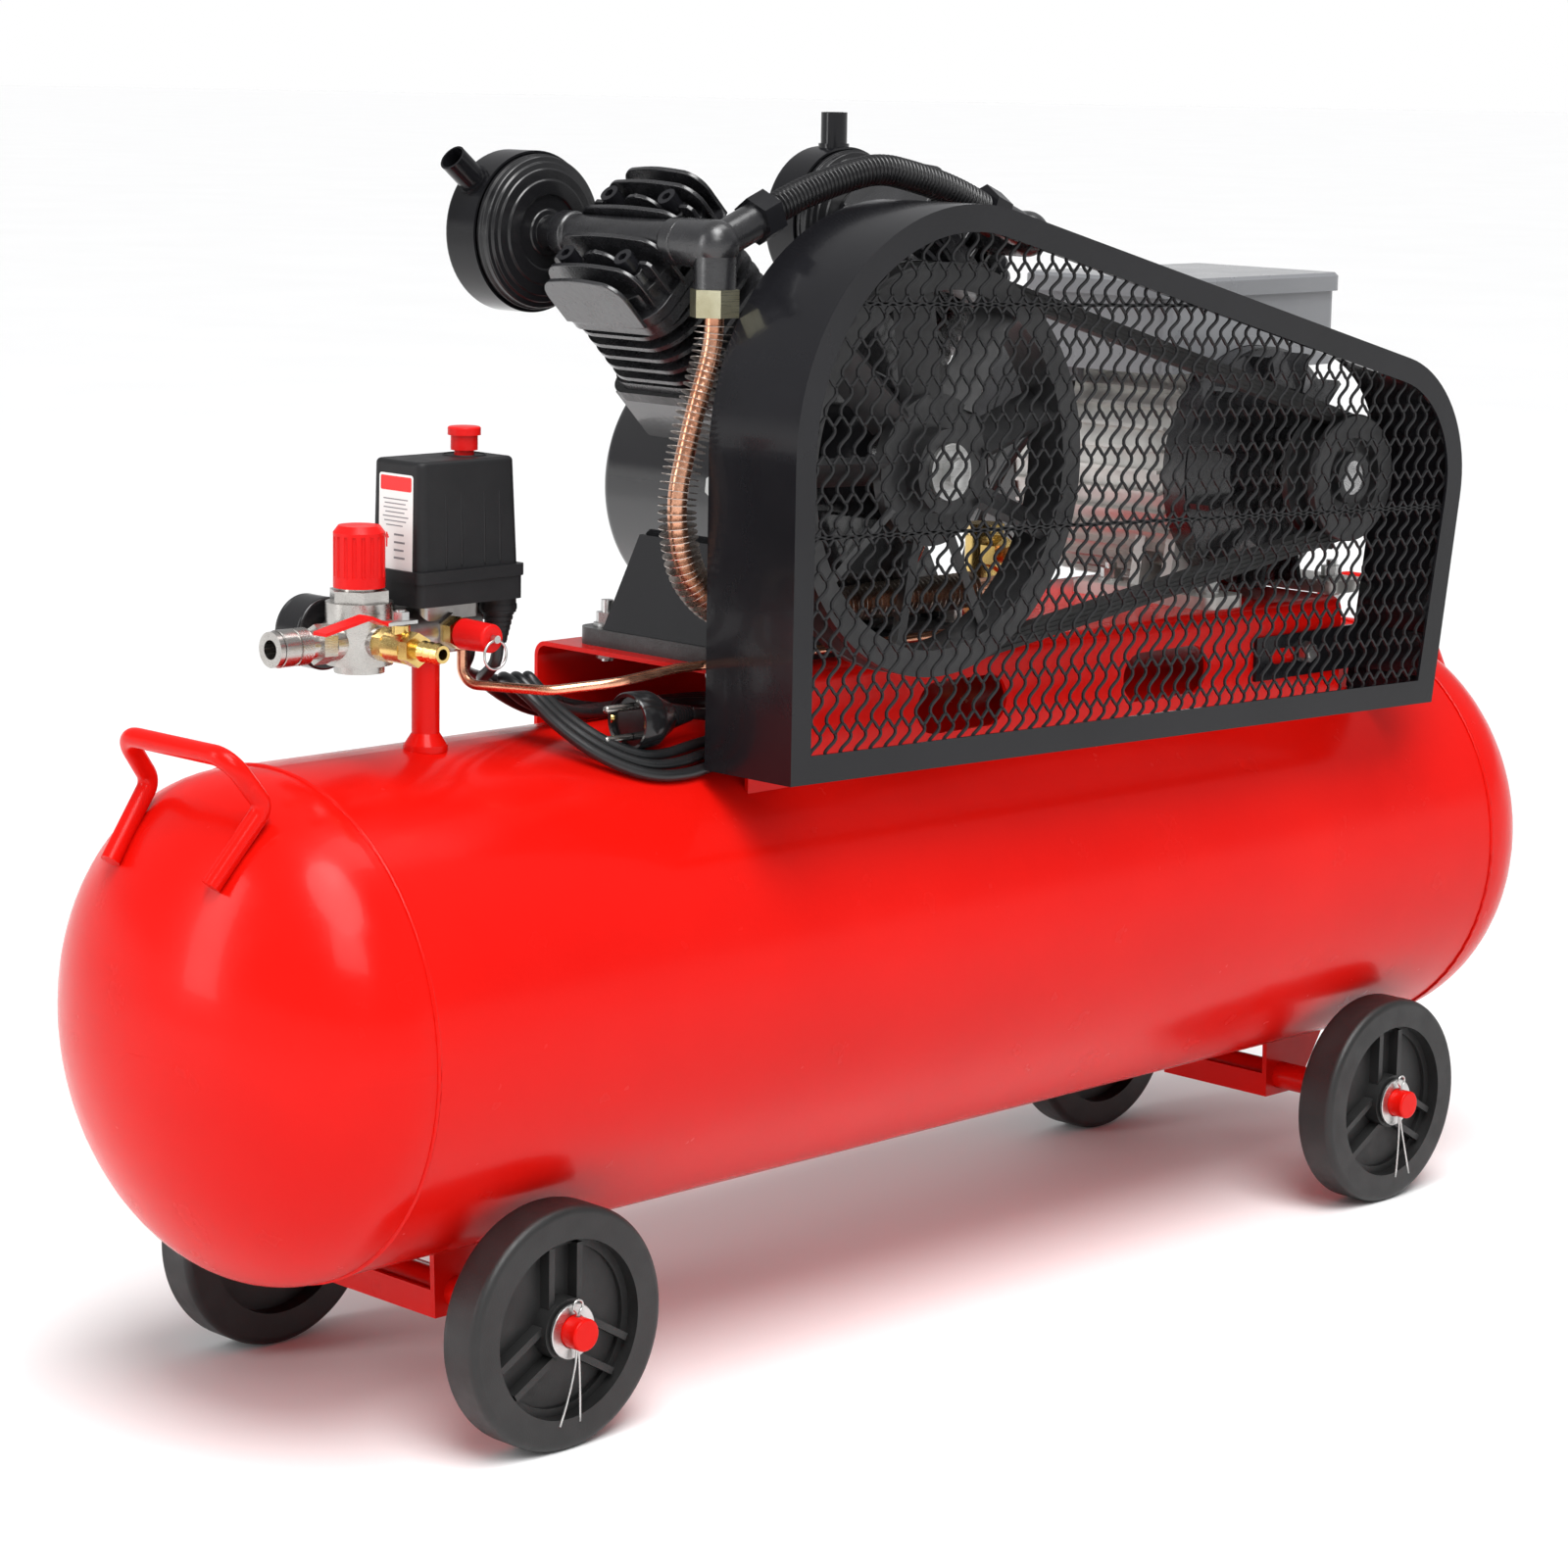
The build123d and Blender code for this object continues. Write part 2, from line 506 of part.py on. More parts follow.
def belt_outline(inset):
    """Outline of the belt at a depth below its outer face, as a face in the XZ plane."""
    r1, r2 = FLYWHEEL_R - inset, PULLEY_R - inset
    dx, dz = MOTOR_X - CRANK_X, MOTOR_Z - CRANK_Z
    lean = degrees(atan2(dz, dx))
    wrap = degrees(atan2(r1 - r2, sqrt(dx ** 2 + dz ** 2 - (r1 - r2) ** 2)))
    plane = Plane(origin=(CRANK_X, BELT_Y, CRANK_Z), x_dir=(1, 0, 0), z_dir=(0, -1, 0))
    up, down = lean + 90 - wrap, lean - 90 + wrap
    big_arc = CenterArc((0, 0), r1, up, 360 - (up - down))
    small_arc = CenterArc((dx, dz), r2, down, up - down)
    top = Line(big_arc @ 0, small_arc @ 1)
    low = Line(big_arc @ 1, small_arc @ 0)
    return plane * make_face(Curve() + [big_arc, small_arc, top, low])


def drive_belt():
    """V-belt: stacked loops that follow the tapered section."""
    layers = 4
    height = BELT_H / layers
    belt = None
    for k in range(layers):
        width = BELT_TOP + (BELT_BOTTOM - BELT_TOP) * (k + 0.5) / layers - 2 * GAP
        ring = belt_outline(0.5 + height * k) - belt_outline(0.5 + height * (k + 1))
        layer = extrude(ring, amount=width / 2, both=True)
        belt = layer if belt is None else belt + layer
    return belt


parts["drive_belt"] = drive_belt()

# ---------------------------------------------------------------- electric motor
STATOR_R = 84.0
STATOR_Y0, STATOR_Y1 = -40.0, 100.0
FRONT_Y, BACK_Y = -84.0, 126.0


def motor_stator():
    """Finned aluminium housing with the wound core as one ring, and two cast feet."""
    housing = rod(STATOR_R, (MOTOR_X, STATOR_Y0, MOTOR_Z), (MOTOR_X, STATOR_Y1, MOTOR_Z))
    for k in range(36):
        fin = block(STATOR_R - 3, STATOR_R + 6, STATOR_Y0 + 2, STATOR_Y1 - 2, -1.3, 1.3)
        housing += Pos(MOTOR_X, 0, MOTOR_Z) * Rot(0, 10 * k, 0) * fin
    for side in (-1, 1):
        x0, x1 = sorted((MOTOR_X + side * 50, MOTOR_X + side * 90))
        housing += rounded_block(x0, x1, -90, 40, DECK_Z, DECK_Z + 9, 8)
        for y in (-40, -12):
            x_in, x_out = MOTOR_X + side * 40, MOTOR_X + side * 76
            web = [(x_in, DECK_Z + 5), (x_out, DECK_Z + 5), (x_out - side * 8, 488), (x_in, 488)]
            housing += plate_xz(web, y, y + 9)
    housing -= rod(56, (MOTOR_X, STATOR_Y0 - 5, MOTOR_Z), (MOTOR_X, STATOR_Y1 + 5, MOTOR_Z))
    box_seat = block(MOTOR_X - 95, MOTOR_X + 95, -50, 90, MOTOR_Z + 68, 700)
    fins_only = pipe(STATOR_R + 10, STATOR_R + 0.5, (MOTOR_X, -60, MOTOR_Z), (MOTOR_X, 130, MOTOR_Z))
    housing -= box_seat & fins_only
    for x, y in MOTOR_BOLTS:
        housing -= rod(4.1, (x, y, DECK_Z - 5), (x, y, DECK_Z + 25))
    return housing


parts["motor_stator"] = motor_stator()


def motor_bells():
    """Front and rear bearing shields."""
    axis = (MOTOR_X, MOTOR_Z)
    front = rod(86, (axis[0], STATOR_Y0 - 20, axis[1]), (axis[0], STATOR_Y0 - 0.1, axis[1]))
    front += cone(58, 84, (axis[0], FRONT_Y + 6, axis[1]), (axis[0], STATOR_Y0 - 20, axis[1]))
    front += rod(32, (axis[0], FRONT_Y, axis[1]), (axis[0], STATOR_Y0 - 10, axis[1]))
    for k in range(12):
        spoke = block(30, 84, FRONT_Y + 3, STATOR_Y0 - 12, -2, 2)
        front += Pos(axis[0], 0, axis[1]) * Rot(0, 15 + 30 * k, 0) * spoke
    front -= rod(72, (axis[0], STATOR_Y0 - 14, axis[1]), (axis[0], STATOR_Y0 + 5, axis[1]))
    front -= rod(26.1, (axis[0], -72.1, axis[1]), (axis[0], STATOR_Y0, axis[1]))
    front -= rod(15, (axis[0], FRONT_Y - 5, axis[1]), (axis[0], -60, axis[1]))
    rear = rod(86, (axis[0], STATOR_Y1 + 0.1, axis[1]), (axis[0], BACK_Y, axis[1]))
    rear -= rod(72, (axis[0], STATOR_Y1 - 5, axis[1]), (axis[0], BACK_Y - 19, axis[1]))
    rear -= rod(26.1, (axis[0], 105, axis[1]), (axis[0], 124.1, axis[1]))
    rear -= rod(15, (axis[0], 102, axis[1]), (axis[0], BACK_Y + 5, axis[1]))
    return group(front, rear)


COWL_END = 168.0


def motor_cowl():
    """Fan cowl: pressed cup with an open grille at the back."""
    cowl = rod(87, (MOTOR_X, BACK_Y + 0.1, MOTOR_Z), (MOTOR_X, COWL_END, MOTOR_Z))
    cowl = fillet(cowl.edges().filter_by(GeomType.CIRCLE).group_by(Axis.Y)[-1], 12)
    cowl -= rod(84.5, (MOTOR_X, BACK_Y - 5, MOTOR_Z), (MOTOR_X, COWL_END - 3, MOTOR_Z))
    for radius in (22, 40, 58):
        ring = pipe(radius + 6, radius - 6, (0, COWL_END - 10, 0), (0, COWL_END + 5, 0))
        for k in range(4):
            ring -= Rot(0, 45 + 90 * k, 0) * block(0, 90, COWL_END - 12, COWL_END + 8, -4, 4)
        cowl -= Pos(MOTOR_X, 0, MOTOR_Z) * ring
    return cowl


parts["motor_bells"] = group(motor_bells(), motor_cowl())


def motor_rotor():
    """Rotor core and shaft, with the cooling fan on its rear end as a second solid."""
    axis = (MOTOR_X, MOTOR_Z)
    rotor = rod(MOTOR_SHAFT_R, (axis[0], -141, axis[1]), (axis[0], 157, axis[1]))
    rotor += rod(55.3, (axis[0], STATOR_Y0 + 12, axis[1]), (axis[0], STATOR_Y1 - 12, axis[1]))
    fan = pipe(22, MOTOR_SHAFT_R + 0.02, (axis[0], 134, axis[1]), (axis[0], 157, axis[1]))
    fan += pipe(74, 20, (axis[0], 134, axis[1]), (axis[0], 137, axis[1]))
    for k in range(8):
        fan += Pos(axis[0], 0, axis[1]) * Rot(0, 45 * k, 0) * block(20, 74, 136, 157, -1.5, 1.5)
    return group(rotor, fan)


parts["motor_rotor"] = motor_rotor()


MOTOR_GLAND = (255.0, 50.0)
CABLE_R = 3.5


def terminal_box():
    """Saddle box for the capacitors on top of the motor, with a lid that overhangs slightly."""
    x0, x1 = MOTOR_X - 94, MOTOR_X + 97
    body = rounded_block(x0, x1, -46, 84, 602, 655, 8)
    lid = rounded_block(x0 - 3, x1 + 3, -49, 87, 655, 668, 9)
    lid = chamfer(lid.edges().group_by(Axis.Z)[-1], 2.5)
    box = body + lid
    box -= block(x0 + 3, x1 - 3, -43, 81, 590, 664)
    saddle = rod(STATOR_R + 2.4, (MOTOR_X, -47, MOTOR_Z), (MOTOR_X, 85, MOTOR_Z))
    box += block(x0 + 1, x1 - 1, -44.5, 82.5, 602, 626)
    box += rod(9, (*MOTOR_GLAND, 592), (*MOTOR_GLAND, 604))
    return box - saddle - rod(CABLE_R + 0.05, (*MOTOR_GLAND, 590), (*MOTOR_GLAND, 600))


parts["terminal_box"] = terminal_box()

# ---------------------------------------------------------------- belt guard
ARC_ONE = (-90.0, 580.0, 151.0)       # centre x, centre z, radius of the flywheel end
ARC_TWO = (340.0, 531.0, 89.0)        # the same for the motor end
GUARD_LEFT = (-241.0, 385.0)          # bottom corners
GUARD_RIGHT = (405.0, 371.0)


def guard_outline(inset):
    """Closed outline of the guard, moved inwards by inset, as a face in the XZ plane."""
    x1, z1, r1 = ARC_ONE[0], ARC_ONE[1], ARC_ONE[2] - inset
    x2, z2, r2 = ARC_TWO[0], ARC_TWO[1], ARC_TWO[2] - inset
    lean = degrees(atan2(z2 - z1, x2 - x1))
    gap = sqrt((x2 - x1) ** 2 + (z2 - z1) ** 2)
    top = lean + 90 - degrees(atan2(r1 - r2, sqrt(gap ** 2 - (r1 - r2) ** 2)))
    corner = Vector(GUARD_RIGHT[0] - inset, GUARD_RIGHT[1] + inset)
    reach = sqrt((corner.X - x2) ** 2 + (corner.Y - z2) ** 2)
    side = degrees(atan2(corner.Y - z2, corner.X - x2)) + degrees(atan2(sqrt(reach ** 2 - r2 ** 2), r2))
    big = CenterArc((x1, z1), r1, top, 180 - top)
    small = CenterArc((x2, z2), r2, side, top - side)
    left = Vector(x1 - r1, GUARD_LEFT[1] + inset)
    sides = Polyline(big @ 1, left, corner, small @ 0)
    face = make_face(Curve() + [big, small, Line(big @ 0, small @ 1), sides])
    return Plane(origin=(0, GUARD_FRONT, 0), x_dir=(1, 0, 0), z_dir=(0, -1, 0)) * face


def guard_slab(inset, y0, y1):
    face = Pos(0, y0 - GUARD_FRONT, 0) * guard_outline(inset)
    return extrude(face, amount=y1 - y0, dir=(0, 1, 0))


def guard_frame():
    """Bent sheet band with a turned-in lip at the front, a bottom rail and two fixing straps."""
    band = guard_slab(0, GUARD_FRONT, GUARD_BACK)
    band -= guard_slab(GUARD_SHEET, GUARD_FRONT - 1, GUARD_BACK + 1)
    band -= block(GUARD_LEFT[0] + 4, GUARD_RIGHT[0] - 4, GUARD_FRONT + GUARD_SHEET, 0, 360, 392)
    lip = guard_slab(0, GUARD_FRONT, GUARD_FRONT + GUARD_SHEET)
    lip -= guard_slab(GUARD_LIP, GUARD_FRONT - 1, GUARD_FRONT + GUARD_SHEET + 1)
    frame = band + lip
    strap_y = (-DECK_Y - 3.1, -DECK_Y - 0.1)
    left_x, right_x = ARC_ONE[0] - ARC_ONE[2] + GUARD_SHEET, 406.0
    straps = block(left_x, -168, *strap_y, 392, 421) + block(286, right_x, *strap_y, 389, 420)
    straps += block(left_x, left_x + 3, -160, -DECK_Y - 0.1, 392, 421)
    straps += block(right_x - 5, right_x - 2, -160, -DECK_Y - 0.1, 389, 420)
    slot = Plane(origin=(318, -DECK_Y, 405), x_dir=(1, 0, 0), z_dir=(0, 1, 0))
    straps -= extrude(slot * SlotOverall(30, 11), amount=10, both=True)
    for x, z in STRAP_BOLTS:
        straps -= rod(4.1, (x, -DECK_Y - 8, z), (x, -DECK_Y + 5, z))
    return frame + straps - tank_bore(TANK_R + 1)


parts["guard_frame"] = guard_frame()


def guard_mesh():
    """Coarse stand-in for the expanded metal: a thin panel with rows of openings."""
    y0 = GUARD_FRONT + GUARD_SHEET + 0.1
    panel = guard_slab(6, y0, y0 + 1.2)
    inner = guard_slab(GUARD_LIP + 3, y0 - 2, y0 + 4)
    pitch_x, pitch_z, bar = 40.0, 47.0, 7.0
    holes = []
    for row in range(8):
        for column in range(17):
            x = -220 + pitch_x * column + pitch_x / 2 * (row % 2)
            z = 398 + pitch_z * row
            holes.append(Pos(x, z) * Rectangle(pitch_x - bar, pitch_z - bar))
    sketch = Plane(origin=(0, y0 - 1, 0), x_dir=(1, 0, 0), z_dir=(0, -1, 0)) * Sketch(children=holes)
    cutter = extrude(sketch, amount=4, dir=(0, 1, 0))
    return panel - (cutter & inner)


parts["guard_mesh"] = guard_mesh()

# ---------------------------------------------------------------- air filters
FILTER_R = 50.0
FILTER_Y = 76.0
STUB_ANGLE = {"left": 141.0, "right": 90.0}
filter_cans = []
filter_backs = []
for side, turn in BANKS.items():
    port_x = CRANK_X + PORT_A * sin(radians(turn))
    port_z = CRANK_Z + PORT_A * cos(radians(turn))
    place = Pos(port_x, FILTER_Y, port_z)
    back = rod(49, (0, 0, 0), (0, 9, 0)) + cone(34, 46, (0, -5, 0), (0, 0, 0))
    back += rod(11, (0, -17.5, 0), (0, 0, 0))
    back -= rod(7, (0, -25, 0), (0, 12, 0))
    can = rod(FILTER_R + 1, (0, 9.1, 0), (0, 38, 0))
    can = fillet(can.edges().filter_by(GeomType.CIRCLE).group_by(Axis.Y)[-1], 4)
    angle = radians(STUB_ANGLE[side])
    outward = Vector(cos(angle), 0, sin(angle))
    middle = Vector(0, 22, 0)
    can += rod(10.5, middle + outward * 44, middle + outward * 53)
    can += rod(9, middle + outward * 52, middle + outward * 74)
    can -= rod(FILTER_R - 0.5, (0, 8, 0), (0, 36.5, 0))
    can -= rod(7.6, middle + outward * 40, middle + outward * 80)
    filter_cans.append(place * can)
    filter_backs.append(place * back)
parts["filter_cans"] = group(*filter_cans)
parts["filter_backs"] = group(*filter_backs)

# ---------------------------------------------------------------- discharge pipework
PORT_X = {side: CRANK_X + PORT_A * sin(radians(turn)) for side, turn in BANKS.items()}
PORT_Z = CRANK_Z + PORT_A * cos(radians(45))
LINE_Y = -80.0                        # plane of the discharge pipes
HOSE_R = 10.0
HOSE_TILT = radians(22)


def discharge_fittings():
    """Cast tee on the left head and cast elbow on the right head."""
    cast = []
    for side, sign in (("left", 1), ("right", -1)):
        x = PORT_X[side]
        body = rod(15, (x, -54.1, PORT_Z), (x, LINE_Y, PORT_Z)) + Pos(x, LINE_Y, PORT_Z) * Sphere(15)
        tip = (x + sign * 34 * cos(HOSE_TILT), LINE_Y, PORT_Z + 34 * sin(HOSE_TILT))
        body += rod(11.5, (x, LINE_Y, PORT_Z), tip)
        if side == "left":
            body += rod(13, (x, LINE_Y, PORT_Z), (x, LINE_Y, PORT_Z - 27))
            body -= rod(6, (x, LINE_Y, PORT_Z), (x, LINE_Y, PORT_Z - 40))
        far_tip = (x + sign * 40 * cos(HOSE_TILT), LINE_Y, PORT_Z + 40 * sin(HOSE_TILT))
        body -= rod(6, (x, LINE_Y, PORT_Z), far_tip) + rod(7, (x, -40, PORT_Z), (x, LINE_Y, PORT_Z))
        cast.append(body)
    return group(*cast)


parts["discharge_fittings"] = discharge_fittings()


def along_hose(side, sign, distance):
    x = PORT_X[side] + sign * distance * cos(HOSE_TILT)
    return (x, LINE_Y, PORT_Z + distance * sin(HOSE_TILT))


pipe_nuts = []
for side, sign in (("left", 1), ("right", -1)):
    nut = hexagon(27, along_hose(side, sign, 34.1), along_hose(side, sign, 49))
    nut -= rod(HOSE_R + 0.05, along_hose(side, sign, 30), along_hose(side, sign, 60))
    pipe_nuts.append(nut)

HOSE_ROUTE = [
    along_hose("left", 1, 36),
    along_hose("left", 1, 76),
    (-121, LINE_Y, 743),
    (-84, LINE_Y, 750),
    (-47, LINE_Y, 743),
    along_hose("right", -1, 76),
    along_hose("right", -1, 36),
]
hose, hose_path = tube(HOSE_ROUTE, HOSE_R - 0.1, HOSE_R - 4)
parts["crossover_hose"] = hose

PIPE_R, FIN_R = 6.0, 12.0
PIPE_ROUTE = [
    (PORT_X["left"], LINE_Y, PORT_Z - 28),
    (PORT_X["left"], LINE_Y, 645),
    (-243, LINE_Y, 598),
    (-257, LINE_Y, 548),
    (-248, LINE_Y, 506),
    (-222, LINE_Y, 482),
    (-180, LINE_Y + 0.5, 475),
    (-130, LINE_Y, 474),
    (-75, LINE_Y + 0.5, 475.5),
    (-20, LINE_Y, 474.5),
    (35, LINE_Y + 1, 475.5),
    (72, LINE_Y + 8, 478),
    (98, LINE_Y + 26, 482),
    (CHECK_X, LINE_Y + 52, 484),
    (CHECK_X + 0.5, -21, 484),
]
core, core_path = tube(PIPE_ROUTE, PIPE_R, PIPE_R - 1.5)
fin_path = core_path.trim(19 / core_path.length, 1 - 130 / core_path.length)
fin_ring = Circle(FIN_R) - Circle(PIPE_R + 0.1)
fins = sweep(Plane(origin=fin_path @ 0, z_dir=fin_path % 0) * fin_ring, path=fin_path)
parts["delivery_pipe"] = group(core, fins)
nut_top = (PORT_X["left"], LINE_Y, PORT_Z - 27.1)
nut_low = (PORT_X["left"], LINE_Y, PORT_Z - 44)
pipe_nuts.append(hexagon(27, nut_top, nut_low) - rod(PIPE_R + 0.6, (nut_top[0], LINE_Y, 690), (nut_top[0], LINE_Y, 640)))


def check_valve():
    """Brass non-return valve in the tank's top boss."""
    base = tank_height(0) + 0.1
    body = rod(14, (CHECK_X, 0, base), (CHECK_X, 0, base + 14)) + rod(10.6, (CHECK_X, 0, base - 9), (CHECK_X, 0, base))
    body += hexagon(30, (CHECK_X, 0, base + 14), (CHECK_X, 0, base + 30))
    body += rod(13, (CHECK_X, 0, base + 30), (CHECK_X, 0, 496)) + hexagon(24, (CHECK_X, 0, 496), (CHECK_X, 0, 504))
    body += hexagon(22, (CHECK_X, -20, 484), (CHECK_X, 0, 484))
    body += rod(5, (CHECK_X, 0, 456), (CHECK_X - 21, 0, 456))
    return body


parts["check_valve"] = check_valve()

# ---------------------------------------------------------------- tank fittings and pressure switch
riser_base = tank_height(RISER_Y) + 0.1
riser = pipe(8.5, 6, (RISER_X, RISER_Y, riser_base - 1.2), (RISER_X, RISER_Y, 459))
riser += pipe(13.5, 6, (RISER_X, RISER_Y, riser_base - 1.2), (RISER_X, RISER_Y, riser_base + 3))
riser += cone(13, 8.5, (RISER_X, RISER_Y, riser_base + 3), (RISER_X, RISER_Y, riser_base + 10))
riser -= rod(6, (RISER_X, RISER_Y, 380), (RISER_X, RISER_Y, 470))
parts["riser_pipe"] = riser - tank_bore(TANK_R + 0.05)

MAN_Y = RISER_Y
UNLOADER_R = 3.0


def switch_manifold():
    """Cast distribution block under the pressure switch."""
    body = rod(15, (REG_X + 20.2, MAN_Y, MANIFOLD_Z), (-360, MAN_Y, MANIFOLD_Z))
    body += rod(13, (RISER_X, MAN_Y, 459.1), (RISER_X, MAN_Y, MANIFOLD_Z))
    body += rounded_block(-406, -360, -21, 10, MANIFOLD_Z - 4, 494, 5)
    body += hexagon(24, (-396, MAN_Y, MANIFOLD_Z), (-396, 14, MANIFOLD_Z))
    body += hexagon(20, (-385, MAN_Y, MANIFOLD_Z), (-385, -24, MANIFOLD_Z))
    body -= rod(6, (RISER_X, MAN_Y, 450), (RISER_X, MAN_Y, MANIFOLD_Z))
    body -= rod(UNLOADER_R + 0.05, (-367, MAN_Y - 3, 455), (-367, MAN_Y - 3, 468))
    return body - rod(6, (REG_X, MAN_Y, MANIFOLD_Z), (-360, MAN_Y, MANIFOLD_Z))


parts["switch_manifold"] = switch_manifold()

GLANDS = [(-347.0, -21.0), (-347.0, 5.0)]
GLAND_END = 466.0


def switch_base():
    """Moulded base plate with the contact block on it and two cable glands under it."""
    base = rounded_block(SWITCH_X - 41, SWITCH_X + 41, -36, 14, 494.2, 508, 5)
    base += block(SWITCH_X - 24, SWITCH_X + 22, -22, 2, 508, 548)
    for x, y in GLANDS:
        base += rod(11, (x, y, 485), (x, y, 496)) + cone(5.2, 9.5, (x, y, GLAND_END), (x, y, 486))
    return base


parts["switch_base"] = switch_base()


def switch_cover():
    """Tapered hood with a rim around its foot."""
    foot_z, top_z = 508.2, 580.0
    low = Pos(SWITCH_X, -11, foot_z) * RectangleRounded(79, 47, 6)
    high = Pos(SWITCH_X - 1, -11, top_z) * RectangleRounded(75, 44, 6)
    hood = loft([low, high])
    hood = fillet(hood.edges().group_by(Axis.Z)[-1], 3)
    hood += rounded_block(SWITCH_X - 42, SWITCH_X + 42, -37, 15, foot_z, foot_z + 7, 5)
    inner_low = Pos(SWITCH_X, -11, foot_z - 1) * RectangleRounded(73, 41, 3)
    inner_high = Pos(SWITCH_X - 1, -11, top_z - 3) * RectangleRounded(69, 38, 3)
    hood -= loft([inner_low, inner_high])
    return hood - rod(6.3, (SWITCH_X + 16, -9, 570), (SWITCH_X + 16, -9, 590))


parts["switch_cover"] = switch_cover()
knob_x, knob_y = SWITCH_X + 16, -9
knob = rod(6, (knob_x, knob_y, 552), (knob_x, knob_y, 584)) + rod(8.2, (knob_x, knob_y, 583), (knob_x, knob_y, 594))
knob += rod(10, (knob_x, knob_y, 592), (knob_x, knob_y, 597))
parts["switch_knob"] = fillet(knob.edges().group_by(Axis.Z)[-1], 1.2)


def regulator_body():
    """Nickel-plated regulator housing with four ports."""
    body = rod(20, (REG_X, REG_Y, 462), (REG_X, REG_Y, 499)) + rod(15, (REG_X, REG_Y, 457), (REG_X, REG_Y, 462))
    body += hexagon(32, (REG_X, REG_Y, 499), (REG_X, REG_Y, 506))
    body += rod(12, (REG_X, REG_Y, 506), (REG_X, REG_Y, 512))
    body += rod(11, (REG_X, REG_Y, MANIFOLD_Z), (REG_X - 24, REG_Y, MANIFOLD_Z))
    body += hexagon(20, (REG_X, REG_Y, MANIFOLD_Z), (REG_X, 12, MANIFOLD_Z))
    body += rod(10, (REG_X, REG_Y, MANIFOLD_Z), (REG_X, REG_Y - 22, MANIFOLD_Z))
    bore = rod(15.3, (REG_X + 18, MAN_Y, MANIFOLD_Z), (REG_X + 30, MAN_Y, MANIFOLD_Z))
    return body - bore - rod(5, (REG_X - 30, REG_Y, MANIFOLD_Z), (REG_X, REG_Y, MANIFOLD_Z))


parts["regulator_body"] = regulator_body()


def regulator_knob():
    """Fluted cap that hides the adjusting screw."""
    body = rod(15.4, (REG_X, REG_Y, 507.5), (REG_X, REG_Y, 540))
    body += cone(15.4, 12.4, (REG_X, REG_Y, 540), (REG_X, REG_Y, 544))
    for k in range(18):
        flute = Pos(REG_X, REG_Y, 526) * Rot(0, 0, 20 * k) * Pos(15.8, 0, 0) * Cylinder(1.3, 24)
        body -= flute
    body -= rod(12.5, (REG_X, REG_Y, 500), (REG_X, REG_Y, 516))
    return body


parts["regulator_knob"] = regulator_knob()

COUPLER_X = REG_X - 24.1


def coupler_body():
    """Quick coupler: hex, barrel and an open socket mouth."""
    start = COUPLER_X
    body = hexagon(21, (start, REG_Y, MANIFOLD_Z), (start - 10, REG_Y, MANIFOLD_Z))
    body += rod(8.6, (start - 10, REG_Y, MANIFOLD_Z), (start - 42, REG_Y, MANIFOLD_Z))
    body += rod(10.6, (start - 38.5, REG_Y, MANIFOLD_Z), (start - 42, REG_Y, MANIFOLD_Z))
    body -= rod(5.8, (start - 20, REG_Y, MANIFOLD_Z), (start - 50, REG_Y, MANIFOLD_Z))
    return body - rod(3.5, (start + 5, REG_Y, MANIFOLD_Z), (start - 30, REG_Y, MANIFOLD_Z))


parts["coupler_body"] = coupler_body()
sleeve_ends = ((COUPLER_X - 17, REG_Y, MANIFOLD_Z), (COUPLER_X - 38, REG_Y, MANIFOLD_Z))
sleeve = pipe(11.2, 8.9, *sleeve_ends)
sleeve -= pipe(12, 10.4, (COUPLER_X - 26, REG_Y, MANIFOLD_Z), (COUPLER_X - 28, REG_Y, MANIFOLD_Z))
parts["coupler_sleeve"] = sleeve

VALVE_Y0 = REG_Y - 22.1


def ball_valve_body():
    """Brass ball valve with a hose barb."""
    body = hexagon(18, (REG_X, VALVE_Y0, MANIFOLD_Z), (REG_X, VALVE_Y0 - 8, MANIFOLD_Z))
    body += rod(9.5, (REG_X, VALVE_Y0 - 8, MANIFOLD_Z), (REG_X, VALVE_Y0 - 24, MANIFOLD_Z))
    body += hexagon(18, (REG_X, VALVE_Y0 - 24, MANIFOLD_Z), (REG_X, VALVE_Y0 - 32, MANIFOLD_Z))
    body += rod(5.2, (REG_X, VALVE_Y0 - 32, MANIFOLD_Z), (REG_X, VALVE_Y0 - 54, MANIFOLD_Z))
    for k in range(3):
        barb_y = VALVE_Y0 - 37 - 6 * k
        body += cone(6.4, 5.0, (REG_X, barb_y, MANIFOLD_Z), (REG_X, barb_y - 5, MANIFOLD_Z))
    body += rod(5.5, (REG_X, VALVE_Y0 - 16, MANIFOLD_Z), (REG_X, VALVE_Y0 - 16, MANIFOLD_Z + 13))
    body -= rod(3.3, (REG_X, VALVE_Y0 + 5, MANIFOLD_Z), (REG_X, VALVE_Y0 - 60, MANIFOLD_Z))
    return body - rod(3.0 + GAP, (REG_X, VALVE_Y0 - 16, MANIFOLD_Z), (REG_X, VALVE_Y0 - 16, MANIFOLD_Z + 20))


parts["ball_valve_body"] = ball_valve_body()


def ball_valve_lever():
    """Cranked lever on the valve stem."""
    stem_y = VALVE_Y0 - 16
    lever_z = MANIFOLD_Z + 14
    stem = rod(3.0, (REG_X, stem_y, MANIFOLD_Z + 4), (REG_X, stem_y, lever_z + 8))
    nut = hexagon(9, (REG_X, stem_y, lever_z + 2), (REG_X, stem_y, lever_z + 7))
    side = [(REG_X + 8, lever_z), (REG_X - 14, lever_z), (REG_X - 26, lever_z + 5), (REG_X - 60, lever_z - 2)]
    side += [(REG_X - 60, lever_z), (REG_X - 26, lever_z + 7), (REG_X - 14, lever_z + 2), (REG_X + 8, lever_z + 2)]
    handle = plate_xz(side, stem_y - 6, stem_y + 6)
    return stem + nut + handle


